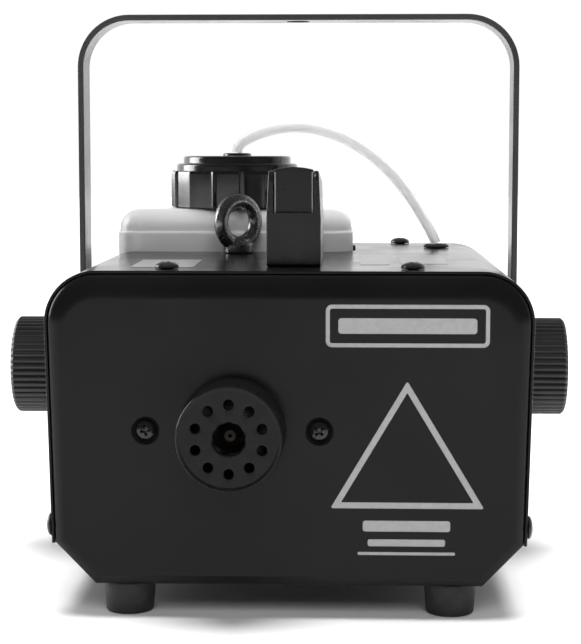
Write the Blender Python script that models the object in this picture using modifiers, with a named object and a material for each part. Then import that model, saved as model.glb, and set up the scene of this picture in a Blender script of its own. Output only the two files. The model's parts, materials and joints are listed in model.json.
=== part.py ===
"""A compact fog machine: folded sheet-metal body, bail handle, lift-out fluid tank, heater and pump.

Lengths in the text below are millimetres, counted from the body's datum: the centre line, the face
of the front panel and the face of the top panel. place() turns them into world metres, with +Z up,
the front facing -Y and the feet standing on Z = 0. The left knob stands further out than the right
one, so the body's centre line is moved over to keep X = 0 midway between the knobs' faces.
"""

from math import atan2, cos, degrees, hypot, pi, radians, sin, tau

import bmesh
import bpy
from mathutils import Matrix, Vector

MM = 0.001
GAP = 0.3  # kept between pieces that touch

# body
DEPTH = 216.0
HEIGHT = 127.5
FOOT_HEIGHT = 13.5
FRONT_Y = -99.0  # the front panel's face in the world
CENTRE_X = 4.15  # the body's centre line in the world
TOP_Z = HEIGHT + FOOT_HEIGHT
HALF_WIDTH = 98.3  # where the top corners end
HALF_WIDTH_LOW = 96.2  # at the cover's lower edge
CORNER_R = 21.0
COVER_DROP = 111.0  # the cover's lower edge below the top
SHEET = 1.2
CHAMFER_X = 78.4  # where the sloping base sides meet the flat base
RIM_R = 4.0
FLANGE = 25.0  # how far the front and rear panels' edges turn in under the cover
COVER_SET_BACK = 3.5

# fog outlet
NOZZLE_X, NOZZLE_UP = -22.4, -63.9
NOZZLE_R, NOZZLE_OUT = 21.0, 21.0
NOZZLE_HOLE_R, JET_R, JET_RING_R, JETS = 6.5, 2.05, 13.7, 10
FLANK_SPAN = 34.85

# handle and its clamp
PIVOT_BACK, PIVOT_UP = 131.0, -53.5
STRIP, STRIP_WIDE = 2.7, 20.0
HANDLE_HALF = 101.9
HANDLE_TOP = 110.0
HANDLE_R = 24.0
KNOB_R, KNOB_LONG, FLUTES = 22.7, 22.8, 48
STUD_R = 4.0
SPACER = 8.0

# fluid tank
TANK_X0, TANK_X1 = -87.0, 25.8
TANK_BACK0, TANK_BACK1 = 134.0, 200.0
TANK_TOP, TANK_BOTTOM, TANK_SEAM = 19.8, -80.0, 9.5
TANK_CORNER, TANK_SHOULDER, TANK_WALL, TANK_STEP = 14.0, 9.0, 2.0, 0.8
CAP_X, CAP_BACK = -31.0, 167.0
NECK_R, NECK_TOP = 26.5, 38.0
CAP_R, CAP_LOW, CAP_GRIP_TOP = 32.3, 20.2, 37.9
CAP_STEP_TOP, CAP_TOP, BOSS_TOP = 41.4, 45.0, 46.4
CAP_GRIPS, CAP_TURN = 15, -83.1

# hose between the cap and the grommet
HOSE_R = 2.6
GROMMET_X, GROMMET_BACK = 66.7, 170.0
HOSE_ROUTE = [
    (-31.0, 167.0, 46.7),
    (-30.4, 167.0, 49.2),
    (-28.2, 167.0, 51.8),
    (-24.2, 167.0, 54.1),
    (-18.4, 167.1, 56.4),
    (-11.0, 167.2, 58.3),
    (-3.0, 167.4, 58.9),
    (5.4, 167.6, 58.3),
    (14.0, 167.9, 56.3),
    (22.8, 168.2, 52.7),
    (31.6, 168.5, 47.5),
    (40.0, 168.8, 40.8),
    (47.6, 169.1, 32.9),
    (54.2, 169.4, 24.2),
    (59.8, 169.7, 15.2),
    (64.1, 169.9, 7.6),
    (66.5, 170.0, 2.2),
]

# top fittings
SCREW_X, SCREW_FRONT, SCREW_REAR = 50.0, 17.0, 208.5
SIDE_SCREW_FRONT, SIDE_SCREW_REAR, SIDE_SCREW_UP = 8.0, 208.0, -104.0
EYE_X, EYE_BACK, EYE_UP, EYE_RING_R, EYE_WIRE_R, EYE_TURN = -27.6, 122.0, 14.4, 10.1, 3.2, 42.0
HOLDER_X, HOLDER_BACK0, HOLDER_BACK1, HOLDER_WIDE, HOLDER_WALL = 1.3, 25.7, 94.5, 22.4, 2.8
HOLDER_LEDGE, HOLDER_TALL, HOLDER_TALL_REAR = 22.3, 39.6, 34.6
REMOTE_TOP, REMOTE_TOP_REAR, REMOTE_DOME = 41.1, 36.2, 1.8
BUTTON_BACK, BUTTON_R = 74.0, 4.5

# feet
FOOT_X, FOOT_FRONT, FOOT_REAR = 66.0, 16.0, 199.0
FOOT_R, FOOT_R_LOW = 10.9, 9.6

# heater, pump and electrics
HEATER_BACK0, HEATER_BACK1, HEATER_WIDE, HEATER_TALL = 22.0, 118.0, 56.0, 48.0
PUMP_X, PUMP_BACK = 58.0, 62.0
BOARD_X, BOARD_BACK, BOARD_WIDE, BOARD_LONG, BOARD_UP = 47.0, 146.0, 50.0, 76.0, -114.0
INLET_X, INLET_UP = 62.0, -93.0
SWITCH_X, SWITCH_UP, SWITCH_TRAVEL = 77.0, -60.0, 18.0
SOCKET_X, SOCKET_UP = 46.0, -60.0

BLACK_PAINT = ("powder_coat", (0.022, 0.022, 0.023), 0.42, 0.0)
BLACK_PLASTIC = ("black_plastic", (0.020, 0.020, 0.021), 0.38, 0.0)
KNOB_PLASTIC = ("knob_plastic", (0.030, 0.030, 0.031), 0.5, 0.0)
RUBBER = ("rubber", (0.018, 0.018, 0.018), 0.75, 0.0)
TANK_PLASTIC = ("tank_plastic", (0.72, 0.73, 0.72), 0.4, 0.0)
CLEAR_HOSE = ("clear_hose", (0.80, 0.81, 0.80), 0.25, 0.0)
DARK_STEEL = ("dark_steel", (0.06, 0.06, 0.062), 0.3, 1.0)
ZINC_STEEL = ("zinc_steel", (0.55, 0.55, 0.54), 0.35, 1.0)
ALUMINIUM = ("aluminium", (0.62, 0.63, 0.64), 0.4, 1.0)
BRASS = ("brass", (0.70, 0.52, 0.22), 0.3, 1.0)
COPPER = ("copper", (0.72, 0.38, 0.25), 0.3, 1.0)
COIL_WRAP = ("coil_wrap", (0.12, 0.08, 0.05), 0.6, 0.0)
BOARD_GREEN = ("board_green", (0.03, 0.16, 0.07), 0.5, 0.0)
LOOM = ("loom", (0.03, 0.03, 0.03), 0.6, 0.0)
WHITE_SLEEVE = ("white_sleeve", (0.75, 0.74, 0.70), 0.8, 0.0)
SWITCH_RED = ("switch_red", (0.35, 0.02, 0.02), 0.3, 0.0)


# ---------------------------------------------------------------- small tools


def place(x, back, up):
    """A point given from the datum, in world metres."""
    return Vector(((x + CENTRE_X) * MM, (back + FRONT_Y) * MM, (up + TOP_Z) * MM))


def about(middle, half):
    """The two ends of a span from its middle and half its length."""
    return (middle - half, middle + half)


def clear_scene():
    for obj in list(bpy.data.objects):
        bpy.data.objects.remove(obj, do_unlink=True)


def collection(name):
    made = bpy.data.collections.new(name)
    bpy.context.scene.collection.children.link(made)
    return made


def material(look):
    name, colour, roughness, metallic = look
    found = bpy.data.materials.get(name)
    if found:
        return found
    made = bpy.data.materials.new(name)
    made.use_nodes = True
    shader = made.node_tree.nodes["Principled BSDF"]
    shader.inputs["Base Color"].default_value = (*colour, 1.0)
    shader.inputs["Roughness"].default_value = roughness
    shader.inputs["Metallic"].default_value = metallic
    made.diffuse_color = (*colour, 1.0)
    return made


def add_object(name, mesh, look=None):
    """A part when it has a look, and a hidden cutter when it has none."""
    obj = bpy.data.objects.new(name, mesh)
    if look:
        PARTS.objects.link(obj)
        mesh.materials.append(material(look))
    else:
        CUTTERS.objects.link(obj)
        obj.hide_render = True
        obj.display_type = "WIRE"
    return obj


def box(name, x, back, up, look=None):
    """A block between two values in each direction."""
    mesh = bpy.data.meshes.new(name)
    low, high = place(x[0], back[0], up[0]), place(x[1], back[1], up[1])
    bm = bmesh.new()
    bmesh.ops.create_cube(bm, size=1.0)
    bmesh.ops.scale(bm, vec=high - low, verts=bm.verts)
    bm.to_mesh(mesh)
    bm.free()
    obj = add_object(name, mesh, look)
    obj.location = (low + high) / 2
    return obj


AIM = {"X": Matrix.Rotation(pi / 2, 4, "Y"), "-Y": Matrix.Rotation(pi / 2, 4, "X"), "Z": Matrix()}
AIM["-X"] = Matrix.Rotation(-pi / 2, 4, "Y")
AIM["Y"] = Matrix.Rotation(-pi / 2, 4, "X")


def cylinder(name, radius, long, centre, axis="Z", look=None, sides=24, radius_end=None):
    """A rod or cone about an axis through its centre; radius_end is at the axis' far end."""
    mesh = bpy.data.meshes.new(name)
    bm = bmesh.new()
    bmesh.ops.create_cone(
        bm,
        cap_ends=True,
        segments=sides,
        radius1=radius * MM,
        radius2=(radius if radius_end is None else radius_end) * MM,
        depth=long * MM,
    )
    bm.to_mesh(mesh)
    bm.free()
    mesh.shade_smooth()
    mesh.set_sharp_from_angle(angle=radians(35))
    obj = add_object(name, mesh, look)
    obj.matrix_world = Matrix.Translation(place(*centre)) @ AIM[axis]
    return obj


def turned(name, profile, centre, axis="Z", look=None, steps=24, closed=False):
    """A shape turned about an axis from (radius, height) points, top to bottom down its outer side."""
    mesh = bpy.data.meshes.new(name)
    points = [(r * MM, 0.0, h * MM) for r, h in profile]
    edges = [(i, i + 1) for i in range(len(points) - 1)]
    if closed:
        edges.append((len(points) - 1, 0))
    mesh.from_pydata(points, edges, [])
    obj = add_object(name, mesh, look)
    obj.matrix_world = Matrix.Translation(place(*centre)) @ AIM[axis]
    screw = obj.modifiers.new("turn", "SCREW")
    screw.steps = screw.render_steps = steps
    screw.use_merge_vertices = True
    screw.merge_threshold = 0.00001
    screw.use_smooth_shade = True
    return obj


def bake(obj, name, look=None):
    """The object's evaluated shape as a plain mesh object in the same place."""
    bpy.context.view_layer.update()
    seen = obj.evaluated_get(bpy.context.evaluated_depsgraph_get())
    mesh = bpy.data.meshes.new_from_object(seen)
    bm = bmesh.new()
    bm.from_mesh(mesh)
    bmesh.ops.remove_doubles(bm, verts=bm.verts, dist=0.000002)
    bm.to_mesh(mesh)
    bm.free()
    mesh.materials.clear()
    matrix = obj.matrix_world.copy()
    bpy.data.objects.remove(obj, do_unlink=True)
    made = add_object(name, mesh, look)
    made.matrix_world = matrix
    return made


def prism(name, outline, across, span, look=None):
    """A flat closed outline given a thickness. across is the direction of the thickness.

    The outline is (x, up) for "Y", (x, back) for "Z" and (back, up) for "X".
    """
    flat = bpy.data.curves.new(name, "CURVE")
    flat.dimensions = "2D"
    flat.fill_mode = "BOTH"
    flat.extrude = (span[1] - span[0]) / 2 * MM
    spline = flat.splines.new("POLY")
    spline.points.add(len(outline) - 1)
    for point, (a, b) in zip(spline.points, outline):
        point.co = (a * MM, b * MM, 0.0, 1.0)
    spline.use_cyclic_u = True
    obj = bpy.data.objects.new(name, flat)
    CUTTERS.objects.link(obj)
    middle = (span[0] + span[1]) / 2
    if across == "Y":
        obj.matrix_world = Matrix.Translation(place(0, middle, 0)) @ Matrix.Rotation(pi / 2, 4, "X")
    elif across == "Z":
        obj.matrix_world = Matrix.Translation(place(0, 0, middle))
    else:
        turn = Matrix(((0, 0, 1, 0), (1, 0, 0, 0), (0, 1, 0, 0), (0, 0, 0, 1)))
        obj.matrix_world = Matrix.Translation(place(middle, 0, 0)) @ turn
    return bake(obj, name, look)


def tube(name, route, radius, look, resolution=2):
    """A round tube along points given from the datum, with closed ends."""
    line = bpy.data.curves.new(name, "CURVE")
    line.dimensions = "3D"
    line.bevel_depth = radius * MM
    line.bevel_resolution = resolution
    line.use_fill_caps = True
    spline = line.splines.new("POLY")
    spline.points.add(len(route) - 1)
    for point, spot in zip(spline.points, route):
        point.co = (*place(*spot), 1.0)
    obj = bpy.data.objects.new(name, line)
    PARTS.objects.link(obj)
    line.materials.append(material(look))
    return obj


def smooth_route(points, every):
    """Points about the given distance apart, on the Catmull-Rom curve through the route's points."""
    ends = [2 * Vector(points[0]) - Vector(points[1]), 2 * Vector(points[-1]) - Vector(points[-2])]
    p = [ends[0], *(Vector(q) for q in points), ends[1]]
    out = [p[1]]
    for a, b, c, d in zip(p, p[1:], p[2:], p[3:]):
        pieces = max(1, round((c - b).length / every))
        for k in range(1, pieces + 1):
            t = k / pieces
            square, cube = 2 * a - 5 * b + 4 * c - d, 3 * b - 3 * c + d - a
            out.append(0.5 * (2 * b + (c - a) * t + square * t**2 + cube * t**3))
    return out


def combine(obj, other, operation):
    step = obj.modifiers.new(other.name, "BOOLEAN")
    step.operation = operation
    step.solver = "EXACT"
    step.object = other


def cut(obj, *cutters):
    for cutter in cutters:
        combine(obj, cutter, "DIFFERENCE")
    return obj


def join(obj, *others):
    for other in others:
        combine(obj, other, "UNION")
    return obj


def bevel(obj, width, segments, angle=30):
    step = obj.modifiers.new("bevel", "BEVEL")
    step.width = width * MM
    step.segments = segments
    step.limit_method = "ANGLE"
    step.angle_limit = radians(angle)
    return obj


def arc(centre, radius, start, end, pieces):
    """Points on a circle from one angle to another, in degrees."""
    turn = [radians(start + (end - start) * k / pieces) for k in range(pieces + 1)]
    return [(centre[0] + radius * cos(a), centre[1] + radius * sin(a)) for a in turn]


def inset(outline, distance):
    """A counter-clockwise outline moved inwards by a distance."""
    out = []
    for i, here in enumerate(outline):
        before, after = outline[i - 1], outline[(i + 1) % len(outline)]
        one = Vector((here[0] - before[0], here[1] - before[1])).normalized()
        two = Vector((after[0] - here[0], after[1] - here[1])).normalized()
        normal = Vector((-one.y - two.y, one.x + two.x)).normalized()
        reach = distance / max(0.2, normal.dot(Vector((-one.y, one.x))))
        out.append((here[0] + normal.x * reach, here[1] + normal.y * reach))
    return out


def rounded(x, y, radius, pieces=4):
    """A rectangle with round corners, counter-clockwise."""
    corners = ((x[1], y[1], 0), (x[0], y[1], 90), (x[0], y[0], 180), (x[1], y[0], 270))
    out = []
    for cx, cy, start in corners:
        inside = (cx - radius if cx == x[1] else cx + radius, cy - radius if cy == y[1] else cy + radius)
        out += arc(inside, radius, start, start + 90, pieces)
    return out


# ---------------------------------------------------------------- body


def body_outline():
    """The body's outer section as (x, up), counter-clockwise; the sides lean in towards the base."""
    lean = degrees(atan2(HALF_WIDTH - HALF_WIDTH_LOW, COVER_DROP - CORNER_R))
    centre = (HALF_WIDTH - CORNER_R, -CORNER_R)
    right = arc(centre, CORNER_R, 90, -lean, 6)[::-1]
    low_x = HALF_WIDTH_LOW
    skin = SHEET + GAP
    right = [(CHAMFER_X + skin * 0.4, -HEIGHT - skin), (low_x, -COVER_DROP - skin * 0.1), *right]
    left = [(-x, up) for x, up in right[::-1]]
    return right + left


def half_width_at(up):
    """The cover's outer half width at a height on its flat side."""
    return HALF_WIDTH - (HALF_WIDTH - HALF_WIDTH_LOW) * (-CORNER_R - up) / (COVER_DROP - CORNER_R)


def tank_plan(grow):
    return rounded(
        (TANK_X0 - grow, TANK_X1 + grow), (TANK_BACK0 - grow, TANK_BACK1 + grow), TANK_CORNER + grow
    )


def screw_spots():
    return [(side * SCREW_X, back) for side in (-1, 1) for back in (SCREW_FRONT, SCREW_REAR)]


def foot_spots():
    return [(side * FOOT_X, back) for side in (-1, 1) for back in (FOOT_FRONT, FOOT_REAR)]


def build_chassis():
    """Front panel, base and rear panel folded from one sheet, with flanges under the cover."""
    outer = inset(body_outline(), SHEET + GAP)
    inner = inset(outer, SHEET)
    chassis = bevel(prism("chassis", outer, "Y", (0, DEPTH), BLACK_PAINT), RIM_R, 2, 60)
    hollow = bevel(prism("chassis_hollow", inner, "Y", (SHEET, DEPTH - SHEET)), RIM_R - SHEET, 2, 60)
    cut(chassis, hollow)
    cut(chassis, box("chassis_window", (-120, 120), (FLANGE, DEPTH - FLANGE), (-97, 20)))
    cut(chassis, prism("chassis_bay", tank_plan(1.6), "Z", (-40, 20)))
    # dimples that sink the two screws beside the outlet
    for side in (-1, 1):
        x = NOZZLE_X + side * FLANK_SPAN
        join(chassis, cylinder(f"dimple_{side}", 7.0, 2.2, (x, SHEET + 0.9, NOZZLE_UP), "Y", sides=16))
        bowl = cylinder(f"dimple_bowl_{side}", 5.2, 1.8, (x, 0.8, NOZZLE_UP), "Y", None, 16, 4.2)
        cut(chassis, bowl, cylinder(f"flank_hole_{side}", 2.3, 12, (x, 2, NOZZLE_UP), "Y", sides=12))
    cut(chassis, cylinder("outlet_hole", 9.0, 12, (NOZZLE_X, 2, NOZZLE_UP), "Y"))
    # holes for the cover's screws, the feet and the air
    for i, (x, back) in enumerate(screw_spots()):
        cut(chassis, cylinder(f"flange_hole_{i}", 2.7, 20, (x, back, -2), sides=12))
    for i, back in enumerate((SIDE_SCREW_FRONT, SIDE_SCREW_REAR)):
        cut(chassis, cylinder(f"side_hole_{i}", 2.7, 240, (0, back, SIDE_SCREW_UP), "X", sides=12))
    for i, (x, back) in enumerate(foot_spots()):
        cut(chassis, cylinder(f"foot_hole_{i}", 3.6, 8, (x, back, -HEIGHT), sides=16))
    for i in range(5):
        back = 54 + 10 * i
        cut(chassis, box(f"vent_{i}", (-44, -1), (back, back + 4), (-HEIGHT - 5, -HEIGHT + 5)))
    # openings in the rear panel
    wall = (DEPTH - 8, DEPTH + 4)
    cut(chassis, box("inlet_hole", about(INLET_X, 14.2), wall, about(INLET_UP, 10.8)))
    cut(chassis, box("switch_hole", about(SWITCH_X, 9.8), wall, about(SWITCH_UP, 6.8)))
    cut(chassis, cylinder("socket_hole", 8.0, 12, (SOCKET_X, DEPTH - 2, SOCKET_UP), "Y"))
    return chassis


def build_cover():
    """Top and sides in one folded sheet that slides over the chassis flanges."""
    outer = body_outline()
    span = (COVER_SET_BACK, DEPTH - COVER_SET_BACK)
    cover = prism("top_cover", outer, "Y", span, BLACK_PAINT)
    cut(cover, prism("cover_hollow", inset(outer, SHEET), "Y", (-5, DEPTH + 5)))
    cut(cover, box("cover_foot", (-120, 120), (-5, DEPTH + 5), (-160, -COVER_DROP)))
    cut(cover, prism("tank_bay", tank_plan(1.3), "Z", (-30, 20)))
    for i, (x, back) in enumerate(screw_spots()):
        cut(cover, cylinder(f"cover_hole_{i}", 2.7, 20, (x, back, 0), sides=12))
    for i, back in enumerate((SIDE_SCREW_FRONT, SIDE_SCREW_REAR)):
        cut(cover, cylinder(f"cover_side_hole_{i}", 2.7, 240, (0, back, SIDE_SCREW_UP), "X", sides=12))
    cut(cover, cylinder("pivot_hole", STUD_R + 0.5, 240, (0, PIVOT_BACK, PIVOT_UP), "X", sides=16))
    cut(cover, cylinder("eye_hole", 4.4, 20, (EYE_X, EYE_BACK, 0), sides=16))
    cut(cover, cylinder("grommet_hole", 4.8, 20, (GROMMET_X, GROMMET_BACK, 0), sides=20))
    return cover


def pan_screw(name, head_r, head_tall, shank_r, shank_long, centre, axis):
    """A pan-head screw whose head's underside is at its centre, pointing up its axis."""
    profile = [(0, head_tall), (head_r * 0.55, head_tall * 0.9), (head_r * 0.88, head_tall * 0.55)]
    profile += [(head_r, 0), (shank_r, 0), (shank_r, -shank_long), (0, -shank_long)]
    return turned(name, profile, centre, axis, DARK_STEEL, steps=14)


def build_screws():
    names = ("left_front", "left_rear", "right_front", "right_rear")
    for name, (x, back) in zip(names, screw_spots()):
        pan_screw(f"top_screw_{name}", 4.85, 2.7, 2.4, 8, (x, back, GAP), "Z")
    edge = half_width_at(SIDE_SCREW_UP) + GAP
    for side, word, axis in ((-1, "left", "-X"), (1, "right", "X")):
        for end, back in (("front", SIDE_SCREW_FRONT), ("rear", SIDE_SCREW_REAR)):
            pan_screw(f"side_screw_{word}_{end}", 4.7, 2.1, 2.4, 8, (side * edge, back, SIDE_SCREW_UP), axis)
        x = NOZZLE_X + side * FLANK_SPAN
        pan_screw(f"heater_screw_{word}", 3.9, 2.2, 2.0, 12, (x, 1.4, NOZZLE_UP), "-Y")


def build_feet():
    """Push-in rubber feet: a tapered foot, a stem through the base and a head above it."""
    low, top = -HEIGHT - FOOT_HEIGHT, -HEIGHT - GAP
    above = -HEIGHT + SHEET + GAP
    profile = [(0, above + 3), (3.0, above + 3), (5.0, above), (3.2, above), (3.2, top), (FOOT_R, top)]
    profile += [(FOOT_R_LOW + 0.1, low + 0.9), (FOOT_R_LOW - 0.7, low), (0, low)]
    names = ("left_front", "left_rear", "right_front", "right_rear")
    for name, (x, back) in zip(names, foot_spots()):
        turned(f"foot_{name}", profile, (x, back, 0), "Z", RUBBER, steps=16)


# ---------------------------------------------------------------- fog outlet and heater


def build_outlet():
    """A cup with a ring of jets over the heater's outlet tube."""
    out, r, wall = NOZZLE_OUT, NOZZLE_R, 2.0
    profile = [(0, out), (r - 1.6, out), (r - 0.9, out + 0.5), (r, out - 0.3), (r + 0.7, GAP)]
    profile += [(r - wall, GAP), (r - wall, out - 2.6), (0, out - 2.6)]
    cup = turned("nozzle_cup", profile, (NOZZLE_X, 0, NOZZLE_UP), "-Y", BLACK_PAINT, steps=32)
    cut(cup, cylinder("cup_hole", NOZZLE_HOLE_R, 12, (NOZZLE_X, -out, NOZZLE_UP), "Y", sides=20))
    for i in range(JETS):
        turn = tau * i / JETS
        x, up = NOZZLE_X + JET_RING_R * sin(turn), NOZZLE_UP + JET_RING_R * cos(turn)
        cut(cup, cylinder(f"jet_{i}", JET_R, 12, (x, -out, up), "Y", sides=10))
    tip = [(0.8, 12), (2.6, 12), (4.6, 9), (4.6, 1), (6.4, 1), (6.4, -6), (4.6, -6), (4.6, -21.4)]
    tip.append((0.8, -21.4))
    turned("nozzle_tube", tip, (NOZZLE_X, 0, NOZZLE_UP), "-Y", BRASS, steps=12, closed=True)


def build_heater():
    sides = about(NOZZLE_X, HEATER_WIDE / 2)
    low, top = NOZZLE_UP - HEATER_TALL / 2, NOZZLE_UP + HEATER_TALL / 2
    block = box("heater_block", sides, (HEATER_BACK0, HEATER_BACK1), (low, top), ALUMINIUM)
    bevel(block, 3.0, 2)
    # the front bracket hangs the block on the two screws beside the outlet
    arm = 1.2
    plate = (3.5, 3.5 + arm)
    wide, tall = about(NOZZLE_X, FLANK_SPAN + 8), about(NOZZLE_UP, 12)
    bracket = box("heater_bracket", wide, plate, tall, ZINC_STEEL)
    for side in (-1, 1):
        face = NOZZLE_X + side * (HEATER_WIDE / 2 + GAP)
        across = sorted((face, face + side * arm))
        join(bracket, box(f"bracket_arm_{side}", across, (4.0, 44), about(NOZZLE_UP, 11)))
        hole = (NOZZLE_X + side * FLANK_SPAN, 4, NOZZLE_UP)
        cut(bracket, cylinder(f"bracket_hole_{side}", 2.3, 8, hole, "Y", sides=12))
    cut(bracket, cylinder("bracket_outlet", 9.0, 8, (NOZZLE_X, 4, NOZZLE_UP), "Y", sides=20))
    # the stand carries the block's rear end
    floor = -HEIGHT + SHEET + GAP
    back, shelf = (92, 108), low - GAP
    stand = box("heater_stand", about(NOZZLE_X, 20), back, (shelf - arm, shelf), ZINC_STEEL)
    for side in (-1, 1):
        leg = sorted((NOZZLE_X + side * 20, NOZZLE_X + side * (20 - arm)))
        join(stand, box(f"stand_leg_{side}", leg, back, (floor, shelf - 0.2)))
        foot = sorted((NOZZLE_X + side * (20 - arm), NOZZLE_X + side * 30))
        join(stand, box(f"stand_foot_{side}", foot, back, (floor, floor + arm)))
    cap = [(0, 10), (5.5, 10), (6.5, 9), (6.5, 2.2), (9.5, 2.0), (9.5, GAP), (0, GAP)]
    turned("thermostat", cap, (NOZZLE_X, 62, top), "Z", BLACK_PLASTIC, steps=16)


# ---------------------------------------------------------------- pump and pipes


def build_pump():
    """A vibrating-plunger pump standing on a bracket: coil, barrel, and the plunger inside it."""
    floor = -HEIGHT + SHEET + GAP
    coil = box("pump_coil", about(PUMP_X, 18), about(PUMP_BACK, 20), (-98, -68), COIL_WRAP)
    bevel(coil, 2.0, 1)
    cut(coil, cylinder("coil_bore", 8.0, 60, (PUMP_X, PUMP_BACK, -83), sides=20))
    wide, arm, shelf, back = 16.0, 1.2, -98 - GAP, about(PUMP_BACK, 12)
    bracket = box("pump_bracket", about(PUMP_X, wide), back, (shelf - arm, shelf), ZINC_STEEL)
    for side in (-1, 1):
        leg = sorted((PUMP_X + side * wide, PUMP_X + side * (wide - arm)))
        join(bracket, box(f"pump_leg_{side}", leg, back, (floor, shelf - 0.2)))
    cut(bracket, cylinder("pump_bracket_hole", 5.0, 10, (PUMP_X, PUMP_BACK, shelf), sides=16))
    outside = [(2.6, -46), (2.6, -54), (5.5, -54), (5.5, -64), (7.6, -66), (7.6, -97.6), (4.6, -98)]
    outside += [(4.6, -104), (2.6, -104), (2.6, -112)]
    inside = [(1.0, -112), (1.0, -98), (4.8, -96), (4.8, -68), (1.0, -66), (1.0, -46)]
    turned("pump_barrel", outside + inside, (PUMP_X, PUMP_BACK, 0), "Z", BRASS, steps=14, closed=True)
    plunger = [(0, -71), (3.9, -71), (4.5, -71.6), (4.5, -92.4), (3.9, -93), (0, -93)]
    turned("pump_plunger", plunger, (PUMP_X, PUMP_BACK, 0), "Z", ZINC_STEEL, steps=14)


def build_pipes():
    high = [(PUMP_X, PUMP_BACK, -45.7), (PUMP_X, PUMP_BACK, -38), (PUMP_X - 2, PUMP_BACK + 3, -30)]
    high += [(PUMP_X - 12, PUMP_BACK + 14, -24), (36, 92, -22), (20, 108, -24), (4, 120, -32)]
    high += [(-10, 126.5, -46), (-19, 127.4, -58), (NOZZLE_X, 123.5, NOZZLE_UP)]
    high.append((NOZZLE_X, HEATER_BACK1 + GAP, NOZZLE_UP))
    tube("pressure_pipe", smooth_route(high, 8.0), 1.5, COPPER)
    low = [(GROMMET_X, GROMMET_BACK, -4.4), (GROMMET_X, GROMMET_BACK, -14), (68, 168, -30)]
    low += [(70, 158, -48), (74, 140, -66), (77, 120, -84), (78, 104, -100), (76, 92, -112), (71, 84, -118.5)]
    low += [(63, 75, -121), (59, 66, -119.5), (PUMP_X, PUMP_BACK, -115.5), (PUMP_X, PUMP_BACK, -112.3)]
    tube("feed_hose", smooth_route(low, 8.0), HOSE_R, CLEAR_HOSE)


# ---------------------------------------------------------------- electrics


def build_board():
    x, back = about(BOARD_X, BOARD_WIDE / 2), about(BOARD_BACK, BOARD_LONG / 2)
    floor = -HEIGHT + SHEET + GAP
    carrier = box("board_carrier", x, back, (floor, floor + 2), BLACK_PLASTIC)
    low, high = floor + 1, BOARD_UP - GAP
    corners = [(a, b) for a in (x[0] + 5, x[1] - 5) for b in (back[0] + 5, back[1] - 5)]
    for i, corner in enumerate(corners):
        join(carrier, cylinder(f"post_{i}", 3.0, high - low, (*corner, (low + high) / 2), sides=12))
    window = (x[0] + 12, x[1] - 12), (back[0] + 12, back[1] - 12), (floor - 3, floor + 5)
    cut(carrier, box("carrier_window", *window))
    box("control_board", x, back, (BOARD_UP, BOARD_UP + 1.6), BOARD_GREEN)
    top = BOARD_UP + 1.6 + GAP
    spot = about(BOARD_X - 10.5, 9.5), about(BOARD_BACK + 1.5, 7.5)
    bevel(box("relay", *spot, (top, top + 15), BLACK_PLASTIC), 0.8, 1)
    spot = about(BOARD_X + 8, 16), about(BOARD_BACK - 29, 5)
    block = box("terminal_block", *spot, (top, top + 11), WHITE_SLEEVE)
    for i in range(4):
        spot = (BOARD_X - 4 + 8 * i, BOARD_BACK - 29, top + 11)
        cut(block, cylinder(f"terminal_{i}", 1.8, 8, spot, sides=10))


def build_rear_fittings():
    """Mains inlet, power switch housing and remote socket in the rear panel."""
    face = DEPTH + GAP
    inlet = box(
        "power_inlet", about(INLET_X, 13.5), (DEPTH - 20, face + 1), about(INLET_UP, 10), BLACK_PLASTIC
    )
    edge = rounded(about(INLET_X, 25), about(INLET_UP, 12), 3, 3)
    join(inlet, prism("inlet_flange", edge, "Y", (face, face + 2.7)))
    cavity = about(INLET_X, 12), (DEPTH - 14, DEPTH + 8), about(INLET_UP, 8.2)
    cut(inlet, box("inlet_cavity", *cavity))
    for i, (x, up) in enumerate(((-7, -2), (7, -2), (0, 2))):
        spot = about(INLET_X + x, 1), (DEPTH - 16, DEPTH - 3), about(INLET_UP + up, 2)
        join(inlet, box(f"inlet_blade_{i}", *spot))
    for side in (-1, 1):
        spot = (INLET_X + side * 20, face + 1, INLET_UP)
        cut(inlet, cylinder(f"inlet_ear_{side}", 1.7, 12, spot, "Y", sides=12))
    housing = box(
        "switch_housing", about(SWITCH_X, 9.4), (DEPTH - 16, face + 1), about(SWITCH_UP, 6.4), BLACK_PLASTIC
    )
    edge = rounded(about(SWITCH_X, 11), about(SWITCH_UP, 7.8), 1.5, 2)
    join(housing, prism("switch_rim", edge, "Y", (face, face + 2.0)))
    cavity = about(SWITCH_X, 8.4), (DEPTH - 8, DEPTH + 8), about(SWITCH_UP, 5.4)
    cut(housing, box("switch_cavity", *cavity))
    build_rocker()
    profile = [(6.0, 2.6), (9.0, 2.6), (9.8, 1.9), (9.8, 0), (7.7, 0), (7.7, -13), (0, -13), (0, -6)]
    profile.append((6.0, -6))
    centre = (SOCKET_X, face, SOCKET_UP)
    socket = turned("remote_socket", profile, centre, "Y", BLACK_PLASTIC, steps=20, closed=True)
    for i in range(3):
        turn = tau * (i - 1) / 5 + pi
        spot = (SOCKET_X + 3.2 * sin(turn), DEPTH - 5.75, SOCKET_UP + 3.2 * cos(turn))
        join(socket, cylinder(f"socket_pin_{i}", 0.7, 6.5, spot, "Y", sides=8))


def build_rocker():
    """A shallow V seen from above, tipped by half its travel about its pivot inside the housing."""
    flat = [(-7.5, 4.0), (-5.5, -3.0), (0, -4.0), (5.5, -3.0), (7.5, 4.0), (0, 3.0)]
    tip = radians(-SWITCH_TRAVEL / 2)
    outline = [
        (SWITCH_X + x * cos(tip) - back * sin(tip), DEPTH - 1 + x * sin(tip) + back * cos(tip))
        for x, back in flat
    ]
    rocker = prism("switch_rocker", outline, "Z", (SWITCH_UP - 5.0, SWITCH_UP + 5.0), SWITCH_RED)
    bevel(rocker, 0.4, 1)


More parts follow.
